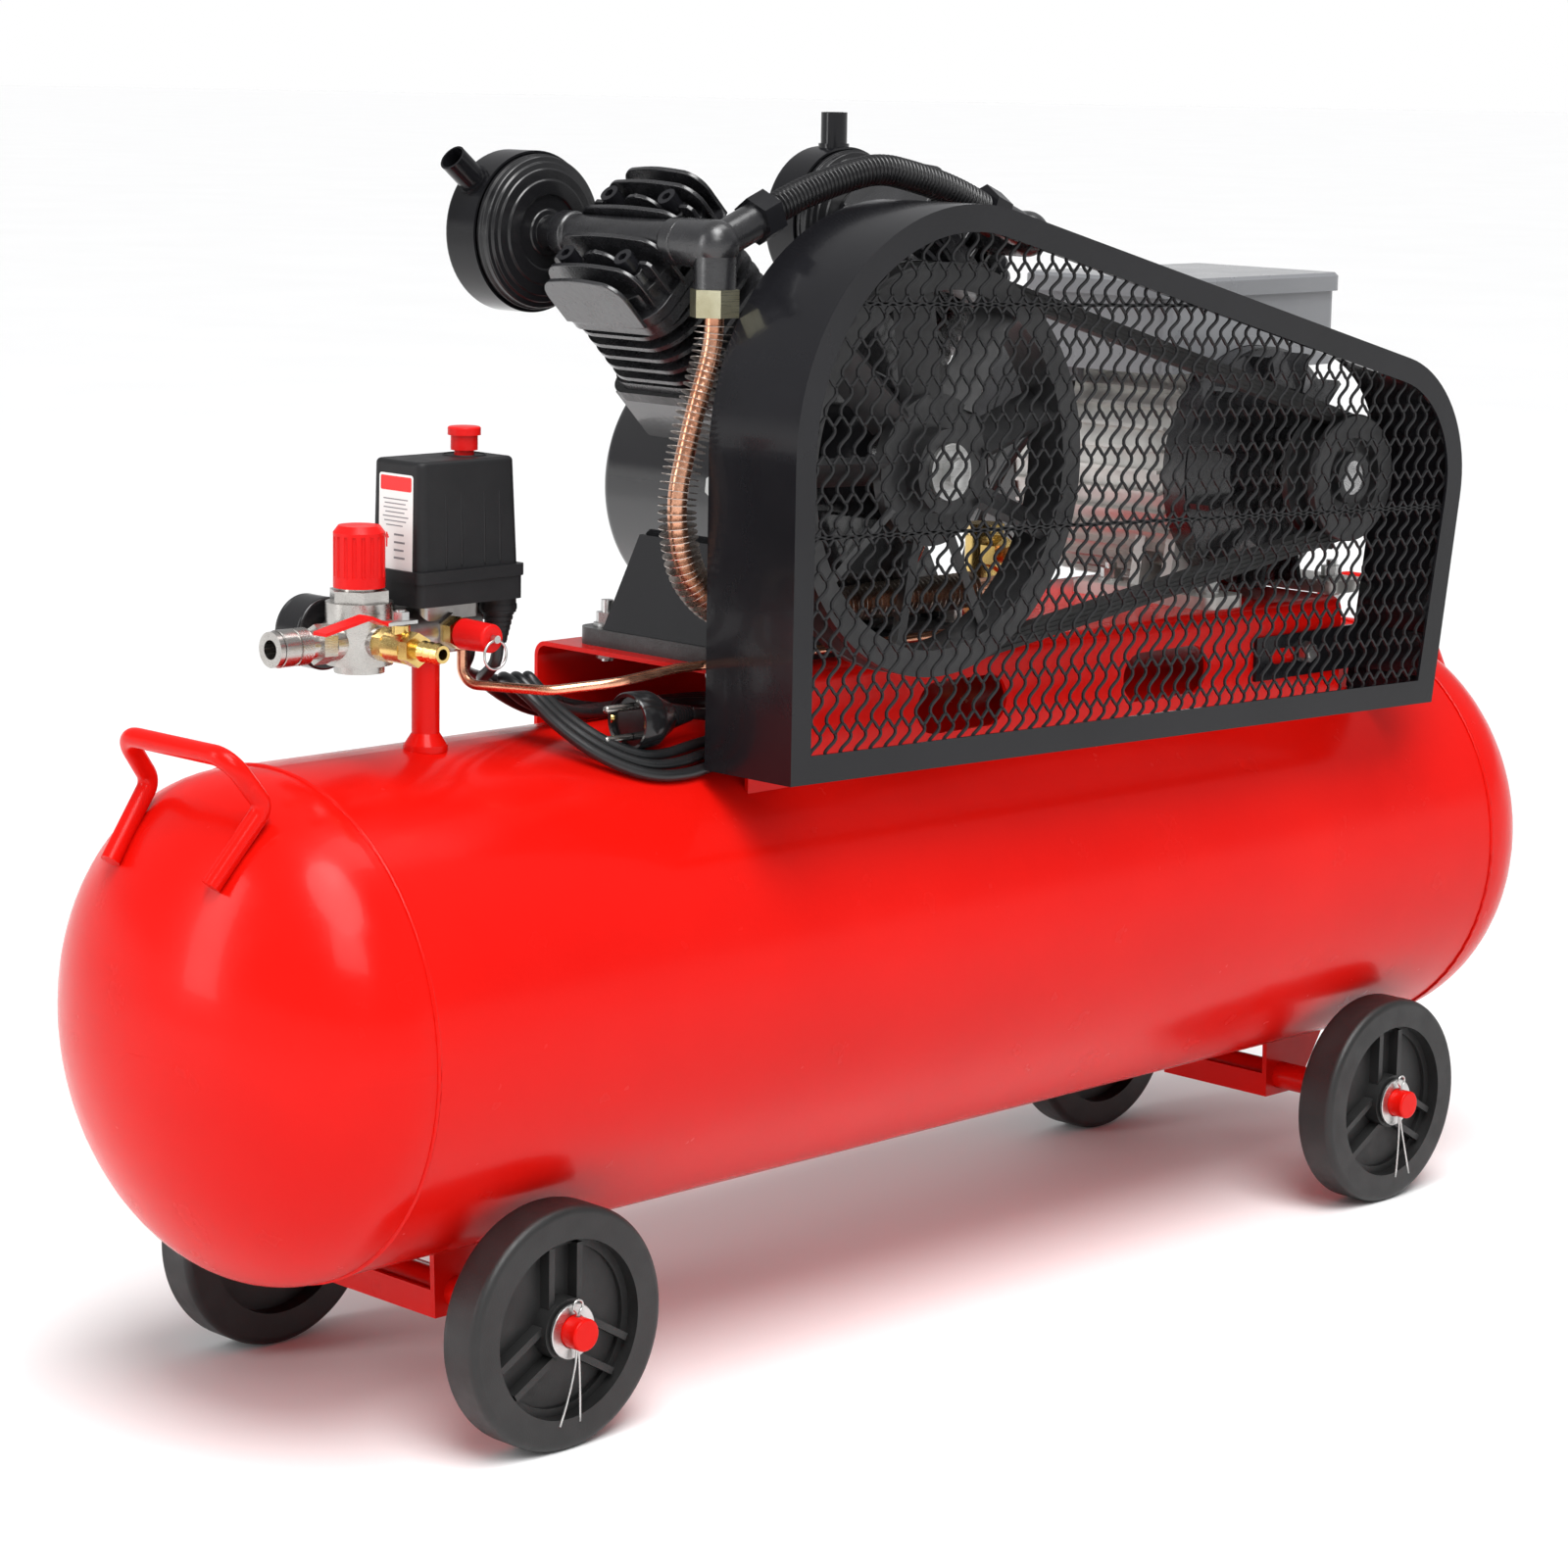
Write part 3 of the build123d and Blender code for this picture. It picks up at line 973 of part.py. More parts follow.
parts["ball_valve_lever"] = ball_valve_lever()

GAUGES = {"outlet": REG_X, "tank": -396.0}
GAUGE_Y0, GAUGE_Y1 = 16.0, 38.0
cases = []
for name, x in GAUGES.items():
    start_y = 12.1 if name == "outlet" else 14.1
    case = rod(22, (x, GAUGE_Y0, MANIFOLD_Z), (x, GAUGE_Y1, MANIFOLD_Z))
    case = fillet(case.edges().filter_by(GeomType.CIRCLE).group_by(Axis.Y)[0], 2)
    case += rod(6, (x, start_y, MANIFOLD_Z), (x, GAUGE_Y0, MANIFOLD_Z))
    case -= rod(20, (x, GAUGE_Y1 - 8, MANIFOLD_Z), (x, GAUGE_Y1 + 5, MANIFOLD_Z))
    case += rod(1.2, (x, GAUGE_Y1 - 9, MANIFOLD_Z), (x, GAUGE_Y1 - 6.5, MANIFOLD_Z))
    cases.append(case)
    needle = rod(2.6, (0, GAUGE_Y1 - 6.1, 0), (0, GAUGE_Y1 - 5, 0)) + block(-5, 14, GAUGE_Y1 - 6.1, GAUGE_Y1 - 5.1, -0.8, 0.8)
    parts["gauge_needle_" + name] = Pos(x, 0, MANIFOLD_Z) * Rot(0, -135 + 180, 0) * needle
parts["gauge_cases"] = group(*cases)


def safety_valve():
    """Brass safety valve with a red cap."""
    x, y = -385.0, -24.1
    body = hexagon(17, (x, y, MANIFOLD_Z), (x, y - 7, MANIFOLD_Z)) + rod(6, (x, y - 7, MANIFOLD_Z), (x, y - 10, MANIFOLD_Z))
    cap = cone(9.4, 8.6, (x, y - 10, MANIFOLD_Z), (x, y - 36, MANIFOLD_Z))
    cap = fillet(cap.edges().group_by(Axis.Y)[0], 2)
    cap -= rod(2.0, (x, y - 30, MANIFOLD_Z), (x, y - 40, MANIFOLD_Z))
    return group(body, cap)


parts["safety_valve"] = safety_valve()
ring_stem = rod(1.4, (-385, -56, MANIFOLD_Z), (-385, -62.8, MANIFOLD_Z)) + rod(2.4, (-385, -60.4, MANIFOLD_Z), (-385, -64.5, MANIFOLD_Z))
ring_loop = Pos(-385, -62.5, MANIFOLD_Z - 9.4) * Rot(90, 0, 0) * Torus(8.6, 0.8)
parts["safety_ring"] = ring_stem + ring_loop

UNLOADER_ROUTE = [
    (-367, MAN_Y - 3, 468),
    (-367, MAN_Y - 3, 441),
    (-347, -68, 442),
    (-312, -89, 446),
    (-262, -88, 449.5),
    (-150, -88.5, 450),
    (-60, -88, 449.5),
    (20, -88, 449.5),
    (66, -76, 451),
    (86, -40, 454),
    (91, -14, 456),
    (92, -8, 456.5),
]
unloader_path = FilletPolyline(*UNLOADER_ROUTE, radius=[11, 18, 30, 60, 60, 60, 30, 30, 30, 4])
section = Plane(origin=unloader_path @ 0, z_dir=unloader_path % 0) * Circle(UNLOADER_R)
parts["unloader_pipe"] = sweep(section, path=unloader_path)

# ---------------------------------------------------------------- drain valve
drain_base = TANK_Z - TANK_R
drain = rod(12, (0, 0, drain_base - 12), (0, 0, drain_base + 2)) - tank_bore(TANK_R + 0.05)
drain += hexagon(17, (0, 0, drain_base - 26), (0, 0, drain_base - 12))
drain += rod(7.8, (0, 0, drain_base - 4), (0, 0, drain_base + 6))
drain += rod(4.5, (0, 0, drain_base - 17), (0, -16, drain_base - 17))
drain -= rod(2.6, (0, 0, drain_base - 17), (0, -20, drain_base - 17))
drain -= rod(2.0 + GAP, (0, 0, drain_base - 30), (0, 0, drain_base - 21))
parts["drain_valve"] = Pos(DRAIN_X, 0, 0) * drain
drain_knob = rod(9, (0, 0, drain_base - 35), (0, 0, drain_base - 27))
drain_knob += rod(2.0, (0, 0, drain_base - 28), (0, 0, drain_base - 21.5))
for k in range(8):
    drain_knob -= Rot(0, 0, 45 * k) * rod(1.4, (9.4, 0, drain_base - 38), (9.4, 0, drain_base - 24))
parts["drain_knob"] = Pos(DRAIN_X, 0, 0) * drain_knob

# ---------------------------------------------------------------- fasteners and plugs
fasteners = list(pipe_nuts)
for x, y in PUMP_BOLTS:
    seat = DECK_Z + 11
    bolt = rod(4, (x, y, DECK_Z - 12), (x, y, seat + 17)) + hexagon(13, (x, y, seat + 2.1), (x, y, seat + 9))
    bolt += pipe(9, 4, (x, y, seat + 0.1), (x, y, seat + 2.1)) + hexagon(13, (x, y, DECK_Z - 10), (x, y, DECK_Z - 3.1))
    fasteners.append(bolt)
for x, y in MOTOR_BOLTS:
    seat = DECK_Z + 9
    bolt = rod(4, (x, y, DECK_Z - 12), (x, y, seat + 13)) + hexagon(13, (x, y, seat + 2.1), (x, y, seat + 9))
    bolt += pipe(9, 4, (x, y, seat + 0.1), (x, y, seat + 2.1)) + hexagon(13, (x, y, DECK_Z - 10), (x, y, DECK_Z - 3.1))
    fasteners.append(bolt)
for x, z in STRAP_BOLTS:
    seat = -DECK_Y - 3.2
    bolt = rod(4, (x, seat - 7, z), (x, -DECK_Y + 12, z)) + hexagon(13, (x, seat - 6, z), (x, seat, z))
    fasteners.append(bolt + hexagon(13, (x, -DECK_Y + 3.1, z), (x, -DECK_Y + 9, z)))
oil_plug = rod(6.9, around_case(OIL_ANGLE, 74, OIL_Y), around_case(OIL_ANGLE, 85, OIL_Y))
oil_plug += rod(11, around_case(OIL_ANGLE, 84.8, OIL_Y), around_case(OIL_ANGLE, 88, OIL_Y))
oil_plug += hexagon(15, around_case(OIL_ANGLE, 88, OIL_Y), around_case(OIL_ANGLE, 96, OIL_Y))
glass = rod(10.9, (CRANK_X, CASE_BACK - 7, GLASS_Z), (CRANK_X, CASE_BACK, GLASS_Z))
glass += hexagon(26, (CRANK_X, CASE_BACK + 0.1, GLASS_Z), (CRANK_X, CASE_BACK + 6, GLASS_Z))
glass -= rod(8, (CRANK_X, CASE_BACK + 3, GLASS_Z), (CRANK_X, CASE_BACK + 8, GLASS_Z))
parts["fasteners_and_plugs"] = group(*fasteners, oil_plug, glass)

# ---------------------------------------------------------------- mains lead and motor cable
PLUG_X, PLUG_Y, PLUG_Z = -272.0, -56.0, 413.4     # centre of the plug's face, which looks to -X


def power_plug():
    """Moulded two-pin plug with a tapered sleeve."""
    y, z = PLUG_Y, PLUG_Z
    body = rod(18.5, (PLUG_X, y, z), (PLUG_X + 16, y, z)) + cone(18.5, 10, (PLUG_X + 16, y, z), (PLUG_X + 32, y, z))
    body = fillet(body.edges().filter_by(GeomType.CIRCLE).group_by(Axis.X)[0], 2)
    body += cone(8.5, 4.4, (PLUG_X + 32, y, z), (PLUG_X + 54, y, z))
    for dz in (-9.5, 9.5):
        body += rod(2.4, (PLUG_X - 19, y, z + dz), (PLUG_X + 2, y, z + dz))
    return body


parts["power_plug"] = power_plug()

HANK_R = 9.5
HANK_ROUTE = [
    (-317, -45, 425),
    (-300, -66, 407),
    (-277, -81, 395.5),
    (-251, -83.5, 394),
    (-222, -78, 397.2),
    (-190, -72, 400),
    (-158, -58, 406),
    (-136, -33, 413),
    (-140, -2, 416.4),
    (-165, 17, 415.5),
    (-200, 22, 415),
    (-236, 20, 415.2),
    (-270, 15, 419),
    (-300, 8, 431),
    (-322, -3, 446),
    (-333, -17, 452),
    (-329, -32, 443),
]


def middle_of(first, second):
    return tuple((Vector(*first) + Vector(*second)) / 2)


def hank_ring():
    """The tied loops of the lead as one closed ring, made in two halves that meet."""
    joins = (middle_of(HANK_ROUTE[-1], HANK_ROUTE[0]), middle_of(HANK_ROUTE[7], HANK_ROUTE[8]))
    front, front_path = tube([joins[0]] + HANK_ROUTE[:8] + [joins[1]], HANK_R)
    back, back_path = tube([joins[1]] + HANK_ROUTE[8:] + [joins[0]], HANK_R)
    return front + back, front_path.length + back_path.length


cord_hank, hank_turn = hank_ring()
parts["cord_hank"] = cord_hank

LEAD_ROUTE = [
    (GLANDS[0][0], GLANDS[0][1], GLAND_END - 0.1),
    (GLANDS[0][0], GLANDS[0][1], 455.5),
    (-344, -15, 446),
    (-337, -5, 442),
    (-325, 0, 442),
]
TAIL_ROUTE = [
    (PLUG_X + 54.1, PLUG_Y, PLUG_Z),
    (-203, PLUG_Y, PLUG_Z),
    (-186, -53, 406.5),
    (-171.5, -44, 403.5),
    (-162.5, -31, 405),
    (-158, -17, 408),
    (-148, -4, 412),
]
cord_tubes = []
for name, route in (("lead", LEAD_ROUTE), ("tail", TAIL_ROUTE)):
    cord, cord_path = tube(route, CORD_D / 2)
    print(name, "arc radii", [round(r, 1) for r in route_radii(route)], "length", round(cord_path.length))
    cord_tubes.append((cord - cord_hank).solids().sort_by(SortBy.VOLUME)[-1])
parts["power_cord"] = group(*cord_tubes)
print("length of one turn of the hank", round(hank_turn))

MOTOR_CABLE_ROUTE = [
    (GLANDS[1][0], GLANDS[1][1], GLAND_END - 0.1),
    (GLANDS[1][0], GLANDS[1][1], 455),
    (-343, 16, 444.5),
    (-322, 30, 437),
    (-286, 41, 428),
    (-250, 51, 416),
    (-213, 60, 403),
    (-168, 64, 395.5),
    (-112, 62, 395.5),
    (-52, 60.5, 396.2),
    (10, 59.5, 396.8),
    (68, 61.5, 396),
    (116, 69, 394),
    (152, 84, 396),
    (180, 101, 404),
    (201, 112, 420),
    (213, 114, 446),
    (221, 108, 482),
    (229, 95, 518),
    (238, 78, 548),
    (248, 60, 570),
    (254, 51, 582),
    (MOTOR_GLAND[0], MOTOR_GLAND[1], 591.9),
]
cable, cable_path = tube(MOTOR_CABLE_ROUTE, CABLE_R)
print("motor cable arc radii", [round(r) for r in route_radii(MOTOR_CABLE_ROUTE)])
parts["motor_cable"] = cable

if __name__ == "__main__":
    for name, shape in parts.items():
        export_step(shape, "parts/" + name + ".step")
    print(len(parts), "nodes")
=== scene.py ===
import math

import bmesh
import bpy
from mathutils import Matrix, Vector


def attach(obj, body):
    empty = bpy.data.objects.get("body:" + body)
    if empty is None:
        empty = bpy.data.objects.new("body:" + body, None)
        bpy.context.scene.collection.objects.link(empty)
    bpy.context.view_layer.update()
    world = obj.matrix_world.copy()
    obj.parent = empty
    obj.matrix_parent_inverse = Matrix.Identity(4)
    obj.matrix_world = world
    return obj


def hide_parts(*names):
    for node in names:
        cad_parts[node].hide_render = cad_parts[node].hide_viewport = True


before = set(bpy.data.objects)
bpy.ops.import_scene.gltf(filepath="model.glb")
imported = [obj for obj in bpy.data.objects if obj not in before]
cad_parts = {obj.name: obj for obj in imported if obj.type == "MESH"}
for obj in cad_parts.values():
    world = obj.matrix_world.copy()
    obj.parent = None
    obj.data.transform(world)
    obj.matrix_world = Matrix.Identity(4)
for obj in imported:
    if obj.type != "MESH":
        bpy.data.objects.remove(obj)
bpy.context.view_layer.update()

MM = 0.001                              # sizes below are in millimetres, as in the CAD

# ---------------------------------------------------------------- places taken from the CAD
TANK_R, TANK_Z = 155.0, 249.0
CRANK_X, CRANK_Z = -84.0, 564.0
GLAND = (-347.0, -21.0, 465.9)
PLUG = (-272.0, -56.0, 413.4)           # centre of the plug's face, which looks to -X
CORD_D = 7.5


def mm(x, y, z):
    return Vector((x, y, z)) * MM


# ---------------------------------------------------------------- camera
def make_camera():
    """Camera at the front left corner, a little above the pump, with a long lens."""
    yaw, pitch, roll = math.radians(44.9075), math.radians(-10.3527), math.radians(1.0043)
    forward = Vector((math.cos(pitch) * math.cos(yaw), math.cos(pitch) * math.sin(yaw), math.sin(pitch)))
    right = forward.cross(Vector((0, 0, 1))).normalized()
    up = right.cross(forward)
    right_rolled = right * math.cos(roll) + up * math.sin(roll)
    up_rolled = up * math.cos(roll) - right * math.sin(roll)
    data = bpy.data.cameras.new("camera")
    data.lens = 94.904
    data.sensor_width = 36
    data.clip_end = 50
    camera = bpy.data.objects.new("camera", data)
    turn = Matrix((right_rolled, up_rolled, -forward)).transposed().to_4x4()
    camera.matrix_world = Matrix.Translation(mm(-1979.66, -1895.40, 834.65)) @ turn
    bpy.context.collection.objects.link(camera)
    bpy.context.scene.camera = camera


make_camera()


# ---------------------------------------------------------------- materials
def new_material(name):
    material = bpy.data.materials.new(name)
    material.use_nodes = True
    return material, material.node_tree, material.node_tree.nodes["Principled BSDF"]


def noise(tree, scale, detail=3.0, rough=0.55, stretch=None):
    """Noise texture in object space, which is the row frame, in metres."""
    place = tree.nodes.new("ShaderNodeTexCoord")
    texture = tree.nodes.new("ShaderNodeTexNoise")
    texture.inputs["Scale"].default_value = scale
    texture.inputs["Detail"].default_value = detail
    texture.inputs["Roughness"].default_value = rough
    if stretch is None:
        tree.links.new(place.outputs["Object"], texture.inputs["Vector"])
    else:
        mapping = tree.nodes.new("ShaderNodeMapping")
        mapping.inputs["Scale"].default_value = stretch
        tree.links.new(place.outputs["Object"], mapping.inputs["Vector"])
        tree.links.new(mapping.outputs["Vector"], texture.inputs["Vector"])
    return texture.outputs["Fac"]


def ramp(tree, value, stops):
    """Colour ramp; each stop is (place, colour)."""
    node = tree.nodes.new("ShaderNodeValToRGB")
    elements = node.color_ramp.elements
    while len(elements) < len(stops):
        elements.new(0.5)
    for element, (place, colour) in zip(elements, stops):
        element.position = place
        element.color = (*colour, 1)
    tree.links.new(value, node.inputs["Fac"])
    return node.outputs["Color"]


def bump(tree, shader, value, distance, strength=1.0, before=None):
    node = tree.nodes.new("ShaderNodeBump")
    node.inputs["Distance"].default_value = distance
    node.inputs["Strength"].default_value = strength
    tree.links.new(value, node.inputs["Height"])
    if before is not None:
        tree.links.new(before, node.inputs["Normal"])
    tree.links.new(node.outputs["Normal"], shader.inputs["Normal"])
    return node.outputs["Normal"]


def map_range(tree, value, low, high):
    node = tree.nodes.new("ShaderNodeMapRange")
    node.inputs["From Min"].default_value = 0.3
    node.inputs["From Max"].default_value = 0.7
    node.inputs["To Min"].default_value = low
    node.inputs["To Max"].default_value = high
    tree.links.new(value, node.inputs["Value"])
    return node.outputs["Result"]


def paint(name, dark, light, rough=(0.08, 0.16), peel=0.00006, coat=0.6, grain=900.0, specular=0.5):
    """Sprayed or powder-coated paint: faint blotches, orange peel and uneven gloss."""
    material, tree, shader = new_material(name)
    tone = noise(tree, 6.0, 4)
    tree.links.new(ramp(tree, tone, [(0.3, dark), (0.7, light)]), shader.inputs["Base Color"])
    tree.links.new(map_range(tree, noise(tree, 30.0, 4), *rough), shader.inputs["Roughness"])
    bump(tree, shader, noise(tree, grain, 2), peel)
    shader.inputs["Coat Weight"].default_value = coat
    shader.inputs["Coat Roughness"].default_value = 0.05
    shader.inputs["Specular IOR Level"].default_value = specular
    return material


def casting(name, dark, light, rough=(0.3, 0.5), depth=0.0004, metallic=0.0, coat=0.25, scale=260.0):
    """Sand casting under paint: lumpy skin with fine pits."""
    material, tree, shader = new_material(name)
    tone = noise(tree, 40.0, 6)
    tree.links.new(ramp(tree, tone, [(0.35, dark), (0.65, light)]), shader.inputs["Base Color"])
    tree.links.new(map_range(tree, noise(tree, 120.0, 5), *rough), shader.inputs["Roughness"])
    first = bump(tree, shader, noise(tree, scale, 6, 0.65), depth, 0.8)
    bump(tree, shader, noise(tree, scale * 4.5, 3), depth * 0.35, 0.7, first)
    shader.inputs["Metallic"].default_value = metallic
    shader.inputs["Coat Weight"].default_value = coat
    shader.inputs["Coat Roughness"].default_value = 0.25
    return material


def metal(name, dark, light, rough=(0.18, 0.32), stretch=(1, 60, 60), depth=0.00003, scale=30.0):
    """Turned, drawn or plated metal with fine scratches and slight tarnish."""
    material, tree, shader = new_material(name)
    tone = noise(tree, 55.0, 5)
    tree.links.new(ramp(tree, tone, [(0.3, dark), (0.7, light)]), shader.inputs["Base Color"])
    scratches = noise(tree, scale, 4, 0.6, stretch)
    tree.links.new(map_range(tree, scratches, *rough), shader.inputs["Roughness"])
    bump(tree, shader, scratches, depth)
    shader.inputs["Metallic"].default_value = 1.0
    return material


def moulded(name, dark, light, rough=(0.42, 0.55), depth=0.00008, scale=1400.0, specular=0.45):
    """Moulded plastic or rubber with a fine grain and faint bloom."""
    material, tree, shader = new_material(name)
    tone = noise(tree, 18.0, 5)
    tree.links.new(ramp(tree, tone, [(0.3, dark), (0.7, light)]), shader.inputs["Base Color"])
    tree.links.new(map_range(tree, noise(tree, 70.0, 4), *rough), shader.inputs["Roughness"])
    bump(tree, shader, noise(tree, scale, 2), depth)
    shader.inputs["Specular IOR Level"].default_value = specular
    return material


RED = paint("red_powder_coat", (0.60, 0.004, 0.002), (0.66, 0.006, 0.003), (0.2, 0.28), 0.00005, 0.06, 260.0, 0.12)
BLACK = paint("black_gloss_enamel", (0.006, 0.006, 0.007), (0.011, 0.011, 0.013), (0.14, 0.22), 0.00006, 0.1, 240.0,
              0.22)
CASE = paint("black_case_enamel", (0.008, 0.008, 0.009), (0.015, 0.015, 0.017), (0.1, 0.18), 0.00012, 0.6, 160.0)
GREY = paint("grey_enamel", (0.16, 0.165, 0.175), (0.2, 0.205, 0.215), (0.25, 0.35), 0.00005, 0.3)
PUMP = casting("black_pump_casting", (0.008, 0.008, 0.009), (0.018, 0.018, 0.02), (0.18, 0.32), 0.00035, 0.0, 0.5)
ROUGH_CAST = casting("black_rough_casting", (0.008, 0.008, 0.008), (0.022, 0.022, 0.023), (0.3, 0.5), 0.0007)
FLY = casting("black_flywheel_casting", (0.010, 0.010, 0.011), (0.024, 0.024, 0.025), (0.35, 0.5), 0.0003)
PISTON_ALLOY = casting("piston_alloy", (0.5, 0.5, 0.51), (0.66, 0.66, 0.67), (0.25, 0.4), 0.0001, 1.0, 0.0)
MOTOR_ALLOY = casting("motor_alloy", (0.50, 0.49, 0.47), (0.62, 0.61, 0.58), (0.34, 0.48), 0.00012, 0.6, 0.1, 500.0)
MANIFOLD = casting("manifold_zinc_casting", (0.30, 0.29, 0.28), (0.48, 0.46, 0.44), (0.26, 0.42), 0.0002, 1.0, 0.0)
STEEL = metal("turned_steel", (0.42, 0.42, 0.42), (0.6, 0.6, 0.6))
ZINC = metal("zinc_plating", (0.46, 0.46, 0.45), (0.62, 0.62, 0.61), (0.24, 0.4))
YELLOW_ZINC = metal("yellow_zinc_plating", (0.46, 0.42, 0.27), (0.68, 0.66, 0.48), (0.24, 0.4))
NICKEL = metal("nickel_plating", (0.42, 0.40, 0.38), (0.56, 0.54, 0.51), (0.2, 0.34))
CHROME = metal("chrome_plating", (0.7, 0.7, 0.71), (0.85, 0.85, 0.86), (0.05, 0.12))
BRASS = metal("brass", (0.62, 0.42, 0.12), (0.82, 0.60, 0.24), (0.16, 0.3))
COPPER = metal("copper", (0.62, 0.27, 0.16), (0.85, 0.46, 0.30), (0.18, 0.34))
FIN_STEEL = metal("tinned_copper_fins", (0.46, 0.40, 0.36), (0.7, 0.62, 0.56), (0.2, 0.36))
PLASTIC = moulded("black_plastic", (0.008, 0.008, 0.009), (0.014, 0.014, 0.015), specular=0.25)
GLOSS_PLASTIC = moulded("black_gloss_plastic", (0.008, 0.008, 0.009), (0.013, 0.013, 0.014), (0.14, 0.24), 0.00002)
RED_PLASTIC = moulded("red_plastic", (0.60, 0.006, 0.006), (0.68, 0.01, 0.009), (0.28, 0.4), 0.00003, 1400.0, 0.15)
WHEEL = moulded("black_wheel_plastic", (0.009, 0.009, 0.009), (0.017, 0.017, 0.017), (0.40, 0.55), 0.00012, 900.0)
CORD_RUBBER = moulded("cord_sheath", (0.010, 0.011, 0.012), (0.018, 0.019, 0.020), (0.26, 0.36), 0.00002)
BELT_RUBBER = moulded("belt_fabric", (0.012, 0.012, 0.012), (0.026, 0.026, 0.026), (0.6, 0.75), 0.00015, 1500.0)
WHITE = moulded("white_print", (0.74, 0.74, 0.72), (0.82, 0.82, 0.8), (0.35, 0.5), 0.00001)
RED_PRINT = moulded("red_print", (0.70, 0.012, 0.012), (0.76, 0.02, 0.018), (0.3, 0.4), 0.00001)
GREY_PRINT = moulded("grey_print", (0.18, 0.18, 0.19), (0.26, 0.26, 0.27), (0.35, 0.5), 0.00001)
HOSE = moulded("hose_plastic", (0.007, 0.007, 0.008), (0.012, 0.012, 0.013), (0.22, 0.34), 0.00002)
MESH_BLACK = paint("black_mesh_paint", (0.009, 0.009, 0.010), (0.016, 0.016, 0.017), (0.42, 0.55), 0.00004, 0.0, 700.0,
                   0.25)

NODE_MATERIALS = {
    "tank_shell": RED, "tank_heads": RED, "carry_handles": RED, "axle_brackets": RED, "axles": RED,
    "pump_platform": RED, "riser_pipe": RED, "axle_hardware": ZINC, "fasteners_and_plugs": ZINC,
    "wheel_front_left": WHEEL, "wheel_rear_left": WHEEL, "wheel_front_right": WHEEL, "wheel_rear_right": WHEEL,
    "drain_valve": BRASS, "drain_knob": BRASS, "switch_manifold": MANIFOLD, "switch_base": PLASTIC,
    "switch_cover": PLASTIC, "switch_knob": RED_PLASTIC, "regulator_body": NICKEL, "regulator_knob": RED_PLASTIC,
    "coupler_body": NICKEL, "coupler_sleeve": NICKEL, "ball_valve_body": BRASS, "ball_valve_lever": RED_PLASTIC,
    "gauge_cases": GLOSS_PLASTIC, "gauge_needle_tank": RED_PLASTIC, "gauge_needle_outlet": RED_PLASTIC,
    "safety_valve": BRASS, "safety_ring": ZINC, "unloader_pipe": COPPER, "check_valve": BRASS,
    "delivery_pipe": COPPER, "discharge_fittings": PUMP, "crossover_hose": CORD_RUBBER, "crankcase": CASE,
    "cylinder_left": PUMP, "cylinder_right": PUMP, "head_left": PUMP, "head_right": PUMP, "head_bolts": BLACK,
    "filter_cans": BLACK, "filter_backs": GLOSS_PLASTIC, "crankshaft": STEEL, "shaft_bearings": CHROME,
    "flywheel": FLY, "piston_left": PISTON_ALLOY, "piston_right": PISTON_ALLOY, "motor_stator": MOTOR_ALLOY,
    "motor_bells": PUMP, "motor_rotor": STEEL, "motor_pulley": FLY, "terminal_box": GREY, "drive_belt": BELT_RUBBER,
    "guard_frame": BLACK, "guard_mesh": BLACK, "power_cord": CORD_RUBBER, "cord_hank": CORD_RUBBER,
    "power_plug": GLOSS_PLASTIC, "motor_cable": CORD_RUBBER,
}


def second_material(name, centre):
    """Material of the faces of a node that aren't in its main finish, by where they are."""
    if name == "safety_valve" and centre.y < -0.0335:
        return RED_PLASTIC
    if name == "fasteners_and_plugs" and centre.z > 0.7045:
        return BLACK
    if name == "fasteners_and_plugs" and 0.65 < centre.z:
        return YELLOW_ZINC
    if name == "crankcase":
        up = ((centre.x - CRANK_X * MM), centre.z - CRANK_Z * MM)
        reach = max(up[1] + up[0], up[1] - up[0]) * math.sqrt(0.5)
        if centre.z < 0.4535 or reach > 0.099:
            return ROUGH_CAST
    if name == "crankshaft" and centre.y < -0.14605:
        return ZINC
    if name == "ball_valve_lever" and centre.x > -0.458:
        return ZINC
    return None


def dress_nodes():
    """Gives every CAD node its materials and softens its edges."""
    for name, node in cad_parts.items():
        materials = node.data.materials
        materials.clear()
        materials.append(NODE_MATERIALS[name])
        used = {}
        for face in node.data.polygons:
            other = second_material(name, face.center)
            if other is not None and other.name not in used:
                materials.append(other)
                used[other.name] = len(materials) - 1
            face.material_index = used[other.name] if other is not None else 0
        width = EDGE_WIDTHS.get(name)
        if width:
            soften(node, width)


def soften(node, width, angle=35):
    modifier = node.modifiers.new("soft_edges", "BEVEL")
    modifier.width = width * MM
    modifier.segments = 2
    modifier.limit_method = "ANGLE"
    modifier.angle_limit = math.radians(angle)
    modifier.harden_normals = True


EDGE_WIDTHS = {
    "guard_frame": 0.9, "pump_platform": 0.9, "axle_brackets": 0.8, "terminal_box": 1.2, "motor_bells": 0.8,
    "cylinder_left": 0.7, "cylinder_right": 0.7, "crankcase": 1.2, "switch_base": 0.8, "switch_cover": 0.8,
    "regulator_body": 0.5, "ball_valve_body": 0.4, "fasteners_and_plugs": 0.4, "discharge_fittings": 0.8,
    "flywheel": 0.8, "motor_pulley": 0.6, "motor_stator": 0.3, "ball_valve_lever": 0.5, "check_valve": 0.4,
    "wheel_front_left": 0.7, "wheel_front_right": 0.7, "wheel_rear_left": 0.7, "wheel_rear_right": 0.7,
    "coupler_body": 0.3, "head_bolts": 0.4, "filter_cans": 0.6, "filter_backs": 0.6, "switch_manifold": 0.7,
    "drain_valve": 0.4, "gauge_cases": 0.4, "regulator_knob": 0.3,
}
dress_nodes()


